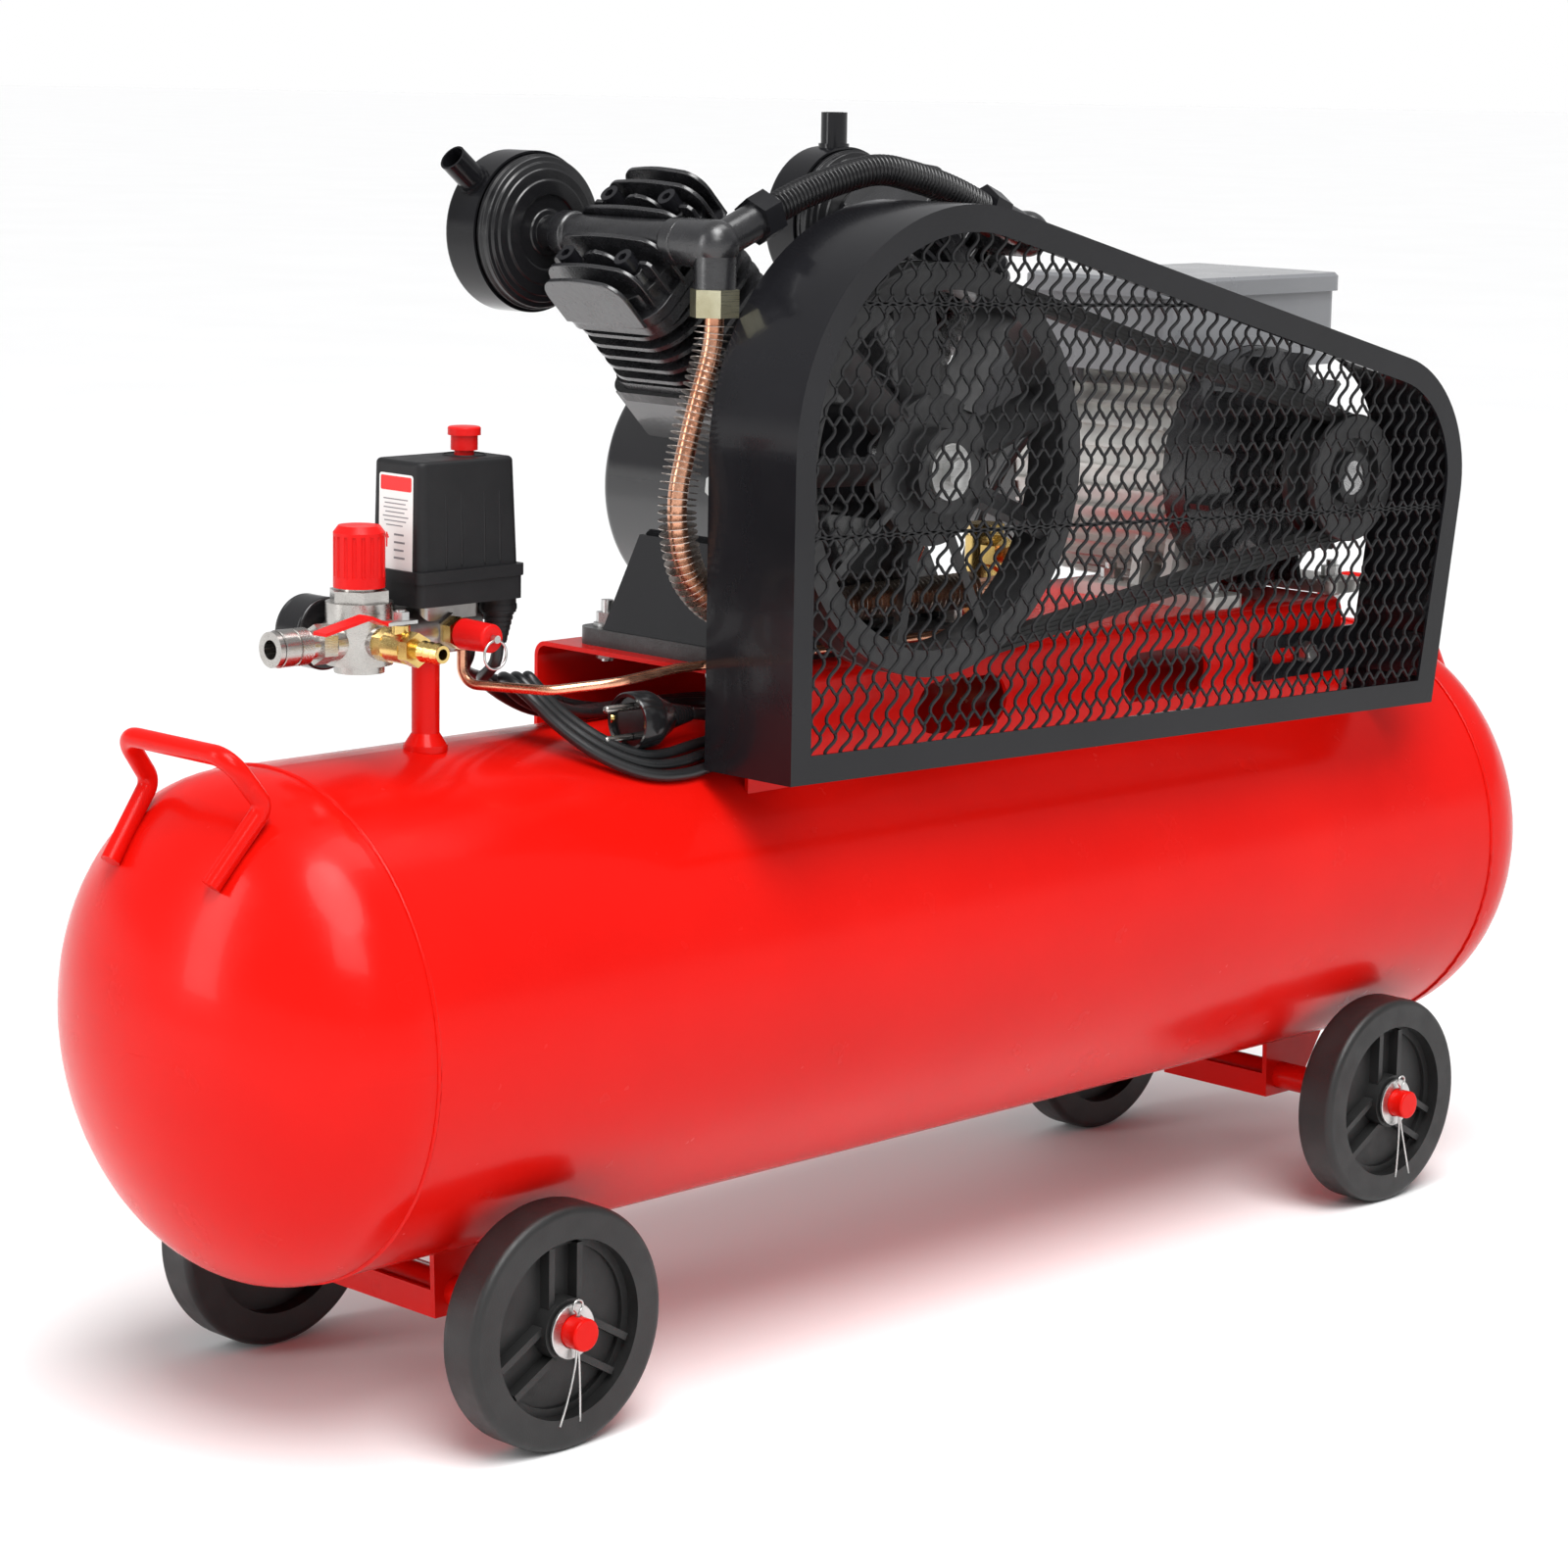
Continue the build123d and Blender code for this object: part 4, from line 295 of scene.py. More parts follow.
# ---------------------------------------------------------------- making pieces
def add_piece(name, mesh, material, body, smooth=True):
    """Links a mesh as a piece that rides on a body."""
    piece = bpy.data.objects.new(name, mesh)
    bpy.context.collection.objects.link(piece)
    mesh.materials.append(material)
    if smooth:
        for face in mesh.polygons:
            face.use_smooth = True
    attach(piece, body)
    return piece


def mesh_from(bm, name):
    mesh = bpy.data.meshes.new(name)
    bm.normal_update()
    bm.to_mesh(mesh)
    bm.free()
    return mesh


def frame_at(origin, axis, side=None):
    """Matrix whose Z runs along axis, at origin (millimetres)."""
    z = Vector(axis).normalized()
    x = Vector(side) if side is not None else (Vector((0, 0, 1)) if abs(z.z) < 0.9 else Vector((1, 0, 0)))
    x = (x - z * x.dot(z)).normalized()
    y = z.cross(x)
    turn = Matrix((x, y, z)).transposed().to_4x4()
    return Matrix.Translation(Vector(origin)) @ turn


def turned(bm, profile, place, steps=48, start=0.0, sweep=360.0):
    """Adds a body of revolution; profile is (radius, height) pairs along the local Z axis."""
    full = sweep >= 359.9
    count = steps if full else steps + 1
    rings = []
    for k in range(count):
        angle = math.radians(start + sweep * k / steps)
        points = [Vector((r * math.cos(angle), r * math.sin(angle), h)) for r, h in profile]
        rings.append([bm.verts.new(place @ p * MM) for p in points])
    for k in range(count if full else count - 1):
        a, b = rings[k], rings[(k + 1) % count]
        for i in range(len(profile) - 1):
            corners = [a[i], b[i], b[i + 1], a[i + 1]]
            bm.faces.new(corners)


def prism(bm, outline, height, place):
    """Adds a straight prism with a polygon outline in the local XY plane."""
    low = [bm.verts.new(place @ Vector((x, y, 0)) * MM) for x, y in outline]
    high = [bm.verts.new(place @ Vector((x, y, height)) * MM) for x, y in outline]
    bm.faces.new(list(reversed(low)))
    bm.faces.new(high)
    count = len(outline)
    for k in range(count):
        bm.faces.new([low[k], low[(k + 1) % count], high[(k + 1) % count], high[k]])


def round_outline(width, height, radius, steps=6):
    """Rectangle with round corners, centred on the origin."""
    points = []
    for cx, cy, start in ((1, 1, 0), (-1, 1, 90), (-1, -1, 180), (1, -1, 270)):
        for k in range(steps + 1):
            angle = math.radians(start + 90 * k / steps)
            x = cx * (width / 2 - radius) + radius * math.cos(angle)
            y = cy * (height / 2 - radius) + radius * math.sin(angle)
            points.append((x, y))
    return points


def tube_along(bm, points, radii, sides=16, closed=False):
    """Adds a tube along points (millimetres); radii is one number or one per point."""
    count = len(points)
    if not hasattr(radii, "__len__"):
        radii = [radii] * count
    frames = []
    normal = None
    for k in range(count):
        before = points[(k - 1) % count] if closed or k > 0 else points[k]
        after = points[(k + 1) % count] if closed or k < count - 1 else points[k]
        along = (after - before).normalized()
        if normal is None:
            normal = along.orthogonal().normalized()
        normal = (normal - along * normal.dot(along)).normalized()
        frames.append((normal.copy(), along.cross(normal)))
    rings = []
    for point, (u, v), radius in zip(points, frames, radii):
        ring = []
        for s in range(sides):
            angle = 2 * math.pi * s / sides
            ring.append(bm.verts.new((point + (u * math.cos(angle) + v * math.sin(angle)) * radius) * MM))
        rings.append(ring)
    for k in range(count if closed else count - 1):
        a, b = rings[k], rings[(k + 1) % count]
        for s in range(sides):
            bm.faces.new([a[s], a[(s + 1) % sides], b[(s + 1) % sides], b[s]])
    if not closed:
        bm.faces.new(list(reversed(rings[0])))
        bm.faces.new(rings[-1])


def bevelled(piece, width, segments=2, angle=35):
    modifier = piece.modifiers.new("soft_edges", "BEVEL")
    modifier.width = width * MM
    modifier.segments = segments
    modifier.limit_method = "ANGLE"
    modifier.angle_limit = math.radians(angle)
    modifier.harden_normals = True
    return piece


def smooth_by_angle(piece, angle=30):
    """Smooth faces with sharp edges kept by angle."""
    mesh = piece.data
    for face in mesh.polygons:
        face.use_smooth = True
    mesh.set_sharp_from_angle(angle=math.radians(angle))


# ---------------------------------------------------------------- mains lead
LEAD_ROUTE = [GLAND, (-347, -21, 455), (-347.5, -12, 446), (-343, 1, 440.5)]
HANK_ROUTE = [
    (-317, -45, 425),
    (-300, -66, 407),
    (-277, -81, 395.5),
    (-251, -83.5, 394),
    (-222, -78, 397.2),
    (-190, -72, 400),
    (-158, -58, 406),
    (-136, -33, 413),
    (-140, -2, 416.4),
    (-165, 17, 415.5),
    (-200, 22, 415),
    (-236, 20, 415.2),
    (-270, 15, 419),
    (-300, 8, 431),
    (-322, -3, 446),
    (-333, -17, 452),
    (-329, -32, 443),
]
SPREAD = [0.9, 1.0, 1.0, 1.0, 1.0, 0.95, 0.9, 0.9, 0.9, 0.9, 0.9, 0.9, 0.9, 0.85, 0.76, 0.74, 0.8]
TAIL_ROUTE = [(-163.5, -17, 407), (-165, -32, 405), (-173, -45, 403), (-186, -53, 405), (-203, -56, 411.5)]
HANK_TURNS = 3
TURN_PITCH = 11.0
OUTER_OFFSET = 16.0


def hank_point(index, progress):
    """Place of the cord at one point of the loop: each turn lies inside the one before, on the tank."""
    count = len(HANK_ROUTE)
    here, before, after = (Vector(HANK_ROUTE[(index + k) % count]) for k in (0, -1, 1))
    along = (after - before).normalized()
    axis = Vector((here.x, 0, TANK_Z))
    out = here - axis
    distance = out.length
    normal = out.normalized()
    sideways = along.cross(normal).normalized()
    offset = (OUTER_OFFSET - TURN_PITCH * progress) * SPREAD[index % count]
    moved = here + sideways * offset
    axis = Vector((moved.x, 0, TANK_Z))
    lift = max(0.0, distance - TANK_R - 12.3)
    return axis + (moved - axis).normalized() * (TANK_R + CORD_D / 2 + 0.3 + lift)


def cord_points():
    """Control points of the lead, from the gland through the tied loops to the plug."""
    points = [Vector(p) for p in LEAD_ROUTE]
    count = len(HANK_ROUTE)
    start = 13
    total = count * HANK_TURNS + 5
    for step in range(total + 1):
        points.append(hank_point((start - step) % count, step / count))
    points += [Vector(p) for p in TAIL_ROUTE]
    points.append(Vector(PLUG) + Vector((53.0, 0, 0)))
    return points


def nurbs(name, points, radius):
    """Smooth round cord on a NURBS spline."""
    data = bpy.data.curves.new(name, "CURVE")
    data.dimensions = "3D"
    data.bevel_depth = radius * MM
    data.bevel_resolution = 6
    data.use_fill_caps = True
    spline = data.splines.new("NURBS")
    spline.points.add(len(points) - 1)
    for control, point in zip(spline.points, points):
        control.co = (*(point * MM), 1)
    spline.order_u = 3
    spline.use_endpoint_u = True
    spline.resolution_u = 8
    piece = bpy.data.objects.new(name, data)
    bpy.context.collection.objects.link(piece)
    return piece


def line_length(points):
    """Length of the quadratic B-spline with these control points."""
    total = 0.0
    last = None
    for a, b, c in zip(points, points[1:], points[2:]):
        for k in range(9):
            t = k / 8
            p = (a + b) / 2 * (1 - t) ** 2 + b * 2 * t * (1 - t) + (b + c) / 2 * t ** 2
            if last is not None:
                total += (p - last).length
            last = p
    ends = (points[0] - points[1]).length / 2 + (points[-1] - points[-2]).length / 2
    return total + ends


lead_points = cord_points()
lead = nurbs("mains_lead", lead_points, CORD_D / 2)
lead.data.materials.append(CORD_RUBBER)
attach(lead, "frame")
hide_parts("power_cord", "cord_hank")
print("lead length", line_length(lead_points))


def plug_piece():
    """Two-pin plug: recessed face with earth clips, pins with rounded tips and a ribbed sleeve."""
    bm = bmesh.new()
    place = frame_at(PLUG, (1, 0, 0))
    profile = [(0, 3.5), (15.2, 3.5), (15.6, 0.6), (17.6, 0), (18.5, 1.2), (18.5, 15), (17.4, 18.5), (13.5, 25)]
    profile += [(11, 31), (8.8, 33)]
    for k in range(7):
        base = 34 + 2.8 * k
        radius = 8.4 - 0.55 * k
        profile += [(radius, base), (radius, base + 1.5), (radius - 1.0, base + 1.7), (radius - 1.0, base + 2.7)]
    profile += [(4.3, 53.8), (0, 53.9)]
    turned(bm, profile, place, 56)
    body = add_piece("plug_body", mesh_from(bm, "plug_body"), GLOSS_PLASTIC, "frame")
    smooth_by_angle(body, 40)
    bm = bmesh.new()
    for dz in (-9.5, 9.5):
        spot = frame_at((PLUG[0] + 3, PLUG[1], PLUG[2] + dz), (-1, 0, 0))
        turned(bm, [(2.4, 0), (2.4, 20.0), (2.0, 21.4), (1.0, 21.9), (0, 22)], spot, 20)
    pins = add_piece("plug_pins", mesh_from(bm, "plug_pins"), NICKEL, "frame")
    bm = bmesh.new()
    for side in (-1, 1):
        spot = frame_at((PLUG[0] + 0.6, PLUG[1] + side * 15.6, PLUG[2]), (1, 0, 0), (0, 0, 1))
        prism(bm, [(-2.4, -0.5), (2.4, -0.5), (2.4, 0.5), (-2.4, 0.5)], 9, spot)
    clips = add_piece("plug_earth_clips", mesh_from(bm, "plug_clips"), BRASS, "frame")
    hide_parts("power_plug")
    return [body, pins, clips]


def gland_sleeves():
    """Ribbed, tapered sleeves under the two cable glands."""
    pieces = []
    for index, y in enumerate((GLAND[1], 5.0)):
        bm = bmesh.new()
        place = frame_at((GLAND[0], y, 490), (0, 0, -1))
        profile = [(11.3, 0), (11.5, 1), (11.5, 3.4), (10.2, 4.2)]
        for k in range(6):
            radius = 9.9 - 0.8 * k
            base = 4.6 + 3.2 * k
            groove = radius - 1.1
            profile += [(radius, base), (radius - 0.2, base + 2.0), (groove, base + 2.3), (groove, base + 3.0)]
        profile += [(4.6, 23.8), (3.9, 24.3), (3.6, 24.3)]
        turned(bm, profile, place, 40)
        sleeve = add_piece(f"gland_sleeve_{index + 1}", mesh_from(bm, "sleeve"), PLASTIC, "frame")
        smooth_by_angle(sleeve, 35)
        pieces.append(sleeve)
    return pieces


plug_pieces = plug_piece()
sleeves = gland_sleeves()


# ---------------------------------------------------------------- floor, light and world
def area_light(name, place, target, size, power, colour=(1, 1, 1)):
    data = bpy.data.lights.new(name, "AREA")
    data.shape = "RECTANGLE"
    data.size, data.size_y = size
    data.energy = power
    data.color = colour
    light = bpy.data.objects.new(name, data)
    place, target = Vector(place), Vector(target)
    light.location = place
    light.rotation_euler = (target - place).to_track_quat("-Z", "Y").to_euler()
    bpy.context.collection.objects.link(light)


def backdrop(name, corners, colour, glow):
    """Plain quad of the studio."""
    mesh = bpy.data.meshes.new(name)
    mesh.from_pydata(corners, [], [(0, 1, 2, 3)])
    piece = bpy.data.objects.new(name, mesh)
    bpy.context.collection.objects.link(piece)
    material, tree, shader = new_material(name)
    tone = noise(tree, 2.0, 3)
    tones = [(0.3, colour), (0.7, tuple(c * 1.02 for c in colour))]
    tree.links.new(ramp(tree, tone, tones), shader.inputs["Base Color"])
    shader.inputs["Roughness"].default_value = 0.6
    shader.inputs["Specular IOR Level"].default_value = 0.2
    shader.inputs["Emission Color"].default_value = (1, 1, 1, 1)
    shader.inputs["Emission Strength"].default_value = glow
    mesh.materials.append(material)


def studio():
    """Pale floor, a sky that is white at the horizon and grey above, a soft sun and three soft boxes."""
    size = 60.0
    backdrop("floor", [(-size, -size, 0), (size, -size, 0), (size, size, 0), (-size, size, 0)], (0.88, 0.88, 0.88), 0.0)
    world = bpy.data.worlds.new("studio")
    bpy.context.scene.world = world
    world.use_nodes = True
    tree = world.node_tree
    place = tree.nodes.new("ShaderNodeTexCoord")
    split = tree.nodes.new("ShaderNodeSeparateXYZ")
    tree.links.new(place.outputs["Generated"], split.inputs["Vector"])
    heights = [(0.0, (1, 1, 1)), (0.06, (1, 1, 1)), (0.16, (0.36, 0.36, 0.37)), (1.0, (0.5, 0.5, 0.5))]
    sky = ramp(tree, split.outputs["Z"], heights)
    tree.links.new(sky, tree.nodes["Background"].inputs["Color"])
    tree.nodes["Background"].inputs["Strength"].default_value = 1.0
    sun_data = bpy.data.lights.new("sun", "SUN")
    sun_data.energy = 2.6
    sun_data.angle = math.radians(35)
    sun = bpy.data.objects.new("sun", sun_data)
    sun.rotation_euler = (math.radians(24), math.radians(-14), 0)
    bpy.context.collection.objects.link(sun)
    area_light("key", (-1.9, -2.4, 2.4), (0, 0, 0.4), (1.5, 1.0), 26)
    area_light("left_strip", (-2.6, 0.9, 1.3), (-0.4, 0, 0.4), (0.6, 1.9), 20)
    area_light("top", (0.1, -0.5, 2.9), (0, 0, 0.4), (2.6, 0.8), 22)
    bpy.context.scene.view_settings.view_transform = "Standard"


studio()


# ---------------------------------------------------------------- expanded metal of the guard
ARC_ONE, ARC_TWO = (-90.0, 580.0, 151.0), (340.0, 531.0, 89.0)
GUARD_LEFT, GUARD_RIGHT = (-241.0, 385.0), (405.0, 371.0)
MESH_Y = -165.3
MESH_START = (-184.0, 673.0)            # left end of the upper seam
MESH_SLOPE = -2.14
CELL_W, CELL_H = 13.2, 23.4
BULGE = 1.7                             # sideways bow of a strand
STRAND = 0.85                           # half the width of a strand
NODE_H = 2.6                            # half the height of the zigzag along a row line
SEAM_ROWS = 6


def guard_distance(x, z):
    """Signed distance inside the guard's outline; positive inside, in millimetres."""
    (x1, z1, r1), (x2, z2, r2) = ARC_ONE, ARC_TWO
    dx, dz = x2 - x1, z2 - z1
    normal = math.atan2(dz, dx) + math.pi / 2 - math.asin((r1 - r2) / math.hypot(dx, dz))
    top = r1 - ((x - x1) * math.cos(normal) + (z - z1) * math.sin(normal))
    left = x - GUARD_LEFT[0]
    slope = math.atan2(GUARD_RIGHT[1] - GUARD_LEFT[1], GUARD_RIGHT[0] - GUARD_LEFT[0])
    bottom = (z - GUARD_LEFT[1]) * math.cos(slope) - (x - GUARD_LEFT[0]) * math.sin(slope)
    side_angle = math.radians(-8.5)
    right = r2 - ((x - x2) * math.cos(side_angle) + (z - z2) * math.sin(side_angle))
    inside = min(top, left, bottom, right)
    if x < x1 and z > z1:
        inside = min(inside, r1 - math.hypot(x - x1, z - z1))
    if side_angle < math.atan2(z - z2, x - x2) < normal:
        inside = min(inside, r2 - math.hypot(x - x2, z - z2))
    return inside


def clipped_runs(points, inset):
    """Splits a line of points where it leaves the guard's outline."""
    runs, run = [], []
    for point in points:
        if guard_distance(point.x, point.z) > inset:
            run.append(point)
            continue
        if len(run) > 1:
            runs.append(run)
        run = []
    if len(run) > 1:
        runs.append(run)
    return runs


def ribbon(bm, points, half_width, thickness):
    """Flat strip along points that lie in an XZ plane."""
    rows = []
    for k, point in enumerate(points):
        before, after = points[max(k - 1, 0)], points[min(k + 1, len(points) - 1)]
        along = (after - before).normalized()
        side = Vector((-along.z, 0, along.x)) * half_width
        lift = Vector((0, thickness, 0))
        corners = (point - side, point + side, point + side + lift, point - side + lift)
        rows.append([bm.verts.new(corner * MM) for corner in corners])
    for a, b in zip(rows, rows[1:]):
        for s in range(4):
            bm.faces.new([a[s], b[s], b[(s + 1) % 4], a[(s + 1) % 4]])
    bm.faces.new(rows[0])
    bm.faces.new(list(reversed(rows[-1])))


def expanded_mesh():
    """Expanded sheet: rows of leaning S strands that fork into arches, with a straight band every six rows."""
    slope = math.radians(MESH_SLOPE)
    cos_s, sin_s = math.cos(slope), math.sin(slope)

    def place(u, v):
        return Vector((MESH_START[0] + u * cos_s - v * sin_s, MESH_Y, MESH_START[1] + u * sin_s + v * cos_s))

    bm = bmesh.new()

    def strip(line, half_width=STRAND, thickness=1.5):
        for run in clipped_runs([place(u, v) for u, v in line], 10.0):
            ribbon(bm, run, half_width, thickness)

    steps = 8
    first, last = -8, 52
    for row in range(-13, 3):
        top, low = (row + 1) * CELL_H, row * CELL_H
        top_band = (row + 1) % SEAM_ROWS == 0
        low_band = row % SEAM_ROWS == 0
        v_top = top - (2.0 if top_band else 1.0) * NODE_H
        v_low = low + (2.0 if low_band else 1.0) * NODE_H
        for column in range(first, last):
            u_top = (column + 0.5) * CELL_W
            u_low = u_top - 0.5 * CELL_W
            line = []
            for k in range(steps + 1):
                t = k / steps
                lean = t - math.sin(2 * math.pi * t) / (2 * math.pi)
                bow = BULGE * math.sin(2 * math.pi * t)
                line.append((u_top + (u_low - u_top) * lean + bow, v_top + (v_low - v_top) * t))
            strip(line)
        shapes = [(top, lambda turn: math.cos(2 * turn))]
        if top_band:
            shapes = [
                (top + NODE_H + 0.5, lambda turn: 1 - 2 * abs(math.sin(turn))),
                (top - NODE_H - 0.5, lambda turn: 2 * abs(math.cos(turn)) - 1),
            ]
            strip([(first * CELL_W + 6 * k, top) for k in range(132)], 1.0, 1.5)
        for height, shape in shapes:
            wave = []
            for k in range(12 * (last - first)):
                u = first * CELL_W + k * CELL_W / 12
                wave.append((u, height + NODE_H * shape(math.pi * u / CELL_W)))
            strip(wave, STRAND * 0.9)
    piece = add_piece("guard_expanded_mesh", mesh_from(bm, "expanded_mesh"), MESH_BLACK, "frame", False)
    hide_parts("guard_mesh")


expanded_mesh()


# ---------------------------------------------------------------- routes with tangent arcs
def rounded_route(points, pitch):
    """Straight runs joined by tangent arcs, as the CAD lays its tubes, sampled every pitch millimetres."""
    points = [Vector(p) for p in points]
    line = [points[0]]
    for before, here, after in zip(points, points[1:], points[2:]):
        run_in, run_out = here - before, after - here
        cut = 0.45 * min(run_in.length, run_out.length)
        a, b = -run_in.normalized(), run_out.normalized()
        turn = math.pi - a.angle(b)
        radius = cut / math.tan(turn / 2)
        centre = here + (a + b).normalized() * radius / math.cos(turn / 2)
        start, finish = here + a * cut - centre, here + b * cut - centre
        for k in range(13):
            line.append(centre + arc_point(start, finish, k / 12))
    line.append(points[-1])
    return resampled(line, pitch)


def arc_point(start, finish, share):
    """Point on the circle arc from start to finish about the origin."""
    angle = start.angle(finish)
    if angle < 1e-6:
        return start.lerp(finish, share)
    return (start * math.sin((1 - share) * angle) + finish * math.sin(share * angle)) / math.sin(angle)


def resampled(line, pitch):
    """Points every pitch millimetres along a polyline."""
    found = [line[0]]
    need = pitch
    for a, b in zip(line, line[1:]):
        length = (b - a).length
        while need <= length and length > 0:
            found.append(a.lerp(b, need / length))
            need += pitch
        need -= length
    return found


# ---------------------------------------------------------------- discharge hose and pipe
BANK_REACH = 200.0
PORT_LEFT = CRANK_X - BANK_REACH * math.sqrt(0.5)
PORT_RIGHT = CRANK_X + BANK_REACH * math.sqrt(0.5)
PORT_Z = CRANK_Z + BANK_REACH * math.sqrt(0.5)
LINE_Y = -80.0
HOSE_TILT = math.radians(22)


def along_hose(side, distance):
    port = PORT_LEFT if side > 0 else PORT_RIGHT
    return (port + side * distance * math.cos(HOSE_TILT), LINE_Y, PORT_Z + distance * math.sin(HOSE_TILT))


def corrugated_hose():
    """Black convoluted hose over the guard, in rings about 3.4 mm apart: six samples of the route to a ring."""
    route = [along_hose(1, 36), along_hose(1, 76), (-121, LINE_Y, 743), (-84, LINE_Y, 750), (-47, LINE_Y, 743)]
    route += [along_hose(-1, 76), along_hose(-1, 36)]
    line = rounded_route(route, 0.57)
    ring = (9.9, 9.9, 9.0, 7.5, 7.5, 9.0)
    radii = [ring[k % len(ring)] for k in range(len(line))]
    bm = bmesh.new()
    tube_along(bm, line, radii, 24)
    piece = add_piece("convoluted_hose", mesh_from(bm, "hose"), HOSE, "frame")
    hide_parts("crossover_hose")


def finned_pipe():
    """Copper pipe with thin round fins from the head to the tank's check valve."""
    route = [(PORT_LEFT, LINE_Y, PORT_Z - 28), (PORT_LEFT, LINE_Y, 645), (-243, LINE_Y, 598), (-257, LINE_Y, 548)]
    route += [(-248, LINE_Y, 506), (-222, LINE_Y, 482), (-180, LINE_Y + 0.5, 475), (-130, LINE_Y, 474)]
    route += [(-75, LINE_Y + 0.5, 475.5), (-20, LINE_Y, 474.5), (35, LINE_Y + 1, 475.5), (72, LINE_Y + 8, 478)]
    route += [(98, LINE_Y + 26, 482), (112, LINE_Y + 52, 484), (112.5, -21, 484)]
    line = rounded_route(route, 3.0)
    bm = bmesh.new()
    tube_along(bm, line, 6.0, 20)
    core = add_piece("pipe_core", mesh_from(bm, "pipe_core"), COPPER, "frame")
    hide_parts("delivery_pipe")
    line = rounded_route(route, 4.3)
    bm = bmesh.new()
    for k in range(5, len(line) - 30):
        place = frame_at(line[k], line[k + 1] - line[k - 1])
        tilt = Matrix.Rotation(math.radians(2.0 * math.sin(2.4 * k)), 4, "X")
        turned(bm, [(5.8, -0.35), (11.9, -0.2), (11.9, 0.2), (5.8, 0.35)], place @ tilt, 28)
    fins = add_piece("pipe_fins", mesh_from(bm, "pipe_fins"), FIN_STEEL, "frame", False)
    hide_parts("delivery_pipe")


corrugated_hose()
finned_pipe()


# ---------------------------------------------------------------- cylinder heads
HEAD_BASE, HEAD_TOP = 172.1, 218.0
BOLT_X, BOLT_Y = 25.5, 26.0


def bank_matrix(side):
    """Matrix whose Z axis runs up a cylinder bank from the crankshaft."""
    turn = Matrix.Rotation(math.radians(45 * side), 4, "Y")
    return Matrix.Translation(Vector((CRANK_X, 0, CRANK_Z))) @ turn


def fin_outline(half, low, high, crown):
    """Outline of an arched fin in its own plane: round shoulders and a slightly crowned top."""
    points = [(-half, low), (half, low)]
    shoulder = min(16.0, (high - low) * 0.7)
    for k in range(7):
        angle = math.radians(15 * k)
        points.append((half - shoulder + shoulder * math.cos(angle), high - shoulder + shoulder * math.sin(angle)))
    for k in range(1, 8):
        share = k / 8
        y = (half - shoulder) * (1 - 2 * share)
        points.append((y, high + crown * math.sin(math.pi * share)))
    for k in range(7):
        angle = math.radians(90 + 15 * k)
        points.append((-half + shoulder + shoulder * math.cos(angle), high - shoulder + shoulder * math.sin(angle)))
    return points


def slab_yz(bm, outline, x0, x1, place):
    """Prism with its outline in the local YZ plane, from x0 to x1."""
    low = [bm.verts.new(place @ Vector((x0, y, z)) * MM) for y, z in outline]
    high = [bm.verts.new(place @ Vector((x1, y, z)) * MM) for y, z in outline]
    bm.faces.new(list(reversed(low)))
    bm.faces.new(high)
    for k in range(len(outline)):
        n = (k + 1) % len(outline)
        bm.faces.new([low[k], low[n], high[n], high[k]])


def head_piece(side):
    """Cylinder head: rounded deck, thin arched fins notched round the bolts, bolt bosses and the port tunnel."""
    name = "left" if side < 0 else "right"
    place = bank_matrix(side)
    bm = bmesh.new()
    prism(bm, round_outline(98, 91, 18), 7.5, place @ Matrix.Translation((0, 0, HEAD_BASE)))
    prism(bm, round_outline(86, 80, 20), 14, place @ Matrix.Translation((0, 0, HEAD_BASE + 5)))
    for k in range(-4, 5):
        x = 11.9 * k
        half = 47.0 * math.sqrt(max(0.0, 1 - (x / 74) ** 2))
        high = HEAD_TOP - 3.0 - 0.9 * abs(k) - (3.0 if k == 0 else 0.0)
        low = HEAD_BASE + (1.5 if abs(k) == 4 else 4.0)
        if abs(abs(x) - BOLT_X) < 8.5:
            for y0, y1 in ((-half, -BOLT_Y - 8.5), (-BOLT_Y + 8.5, BOLT_Y - 8.5), (BOLT_Y + 8.5, half)):
                middle, reach = (y0 + y1) / 2, (y1 - y0) / 2
                drop = 0.0 if abs(middle) < 1 else 7.0
                outline = [(y + middle, z) for y, z in fin_outline(reach, low, high - drop, 0.6)] if reach > 17 else [
                    (y0, low), (y1, low), (y1, high - drop - 3), (y1 - 3 * (middle > 1), high - drop),
                    (y0 + 3 * (middle < -1), high - drop), (y0, high - drop - 3)]
                slab_yz(bm, outline, x - 1.5, x + 1.5, place)
            continue
        slab_yz(bm, fin_outline(half, low, high, 1.6), x - 1.5, x + 1.5, place)
    for bx in (-BOLT_X, BOLT_X):
        for by in (-BOLT_Y, BOLT_Y):
            spot = place @ Matrix.Translation((bx, by, HEAD_BASE + 6))
            turned(bm, [(8.8, 0), (8.2, 20), (7.4, 22.0), (4.5, 22.0), (4.5, 2)], spot, 24)
    tunnel = place @ Matrix.Translation((0, 0, BANK_REACH)) @ Matrix.Rotation(math.radians(90), 4, "X")
    profile = [(7.5, -57.8), (14.2, -57.8), (14.8, -56.6), (14.8, -47), (13.2, -45), (13.2, 42), (15, 44), (15, 53)]
    profile += [(14, 54), (7.5, 54)]
    turned(bm, profile, tunnel, 40)
    head = add_piece(f"head_{name}_casting", mesh_from(bm, "head"), PUMP, "frame")
    smooth_by_angle(head, 32)
    bevelled(head, 0.7, 2, 32)
    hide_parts("head_" + name)


for bank_side in (-1, 1):
    head_piece(bank_side)


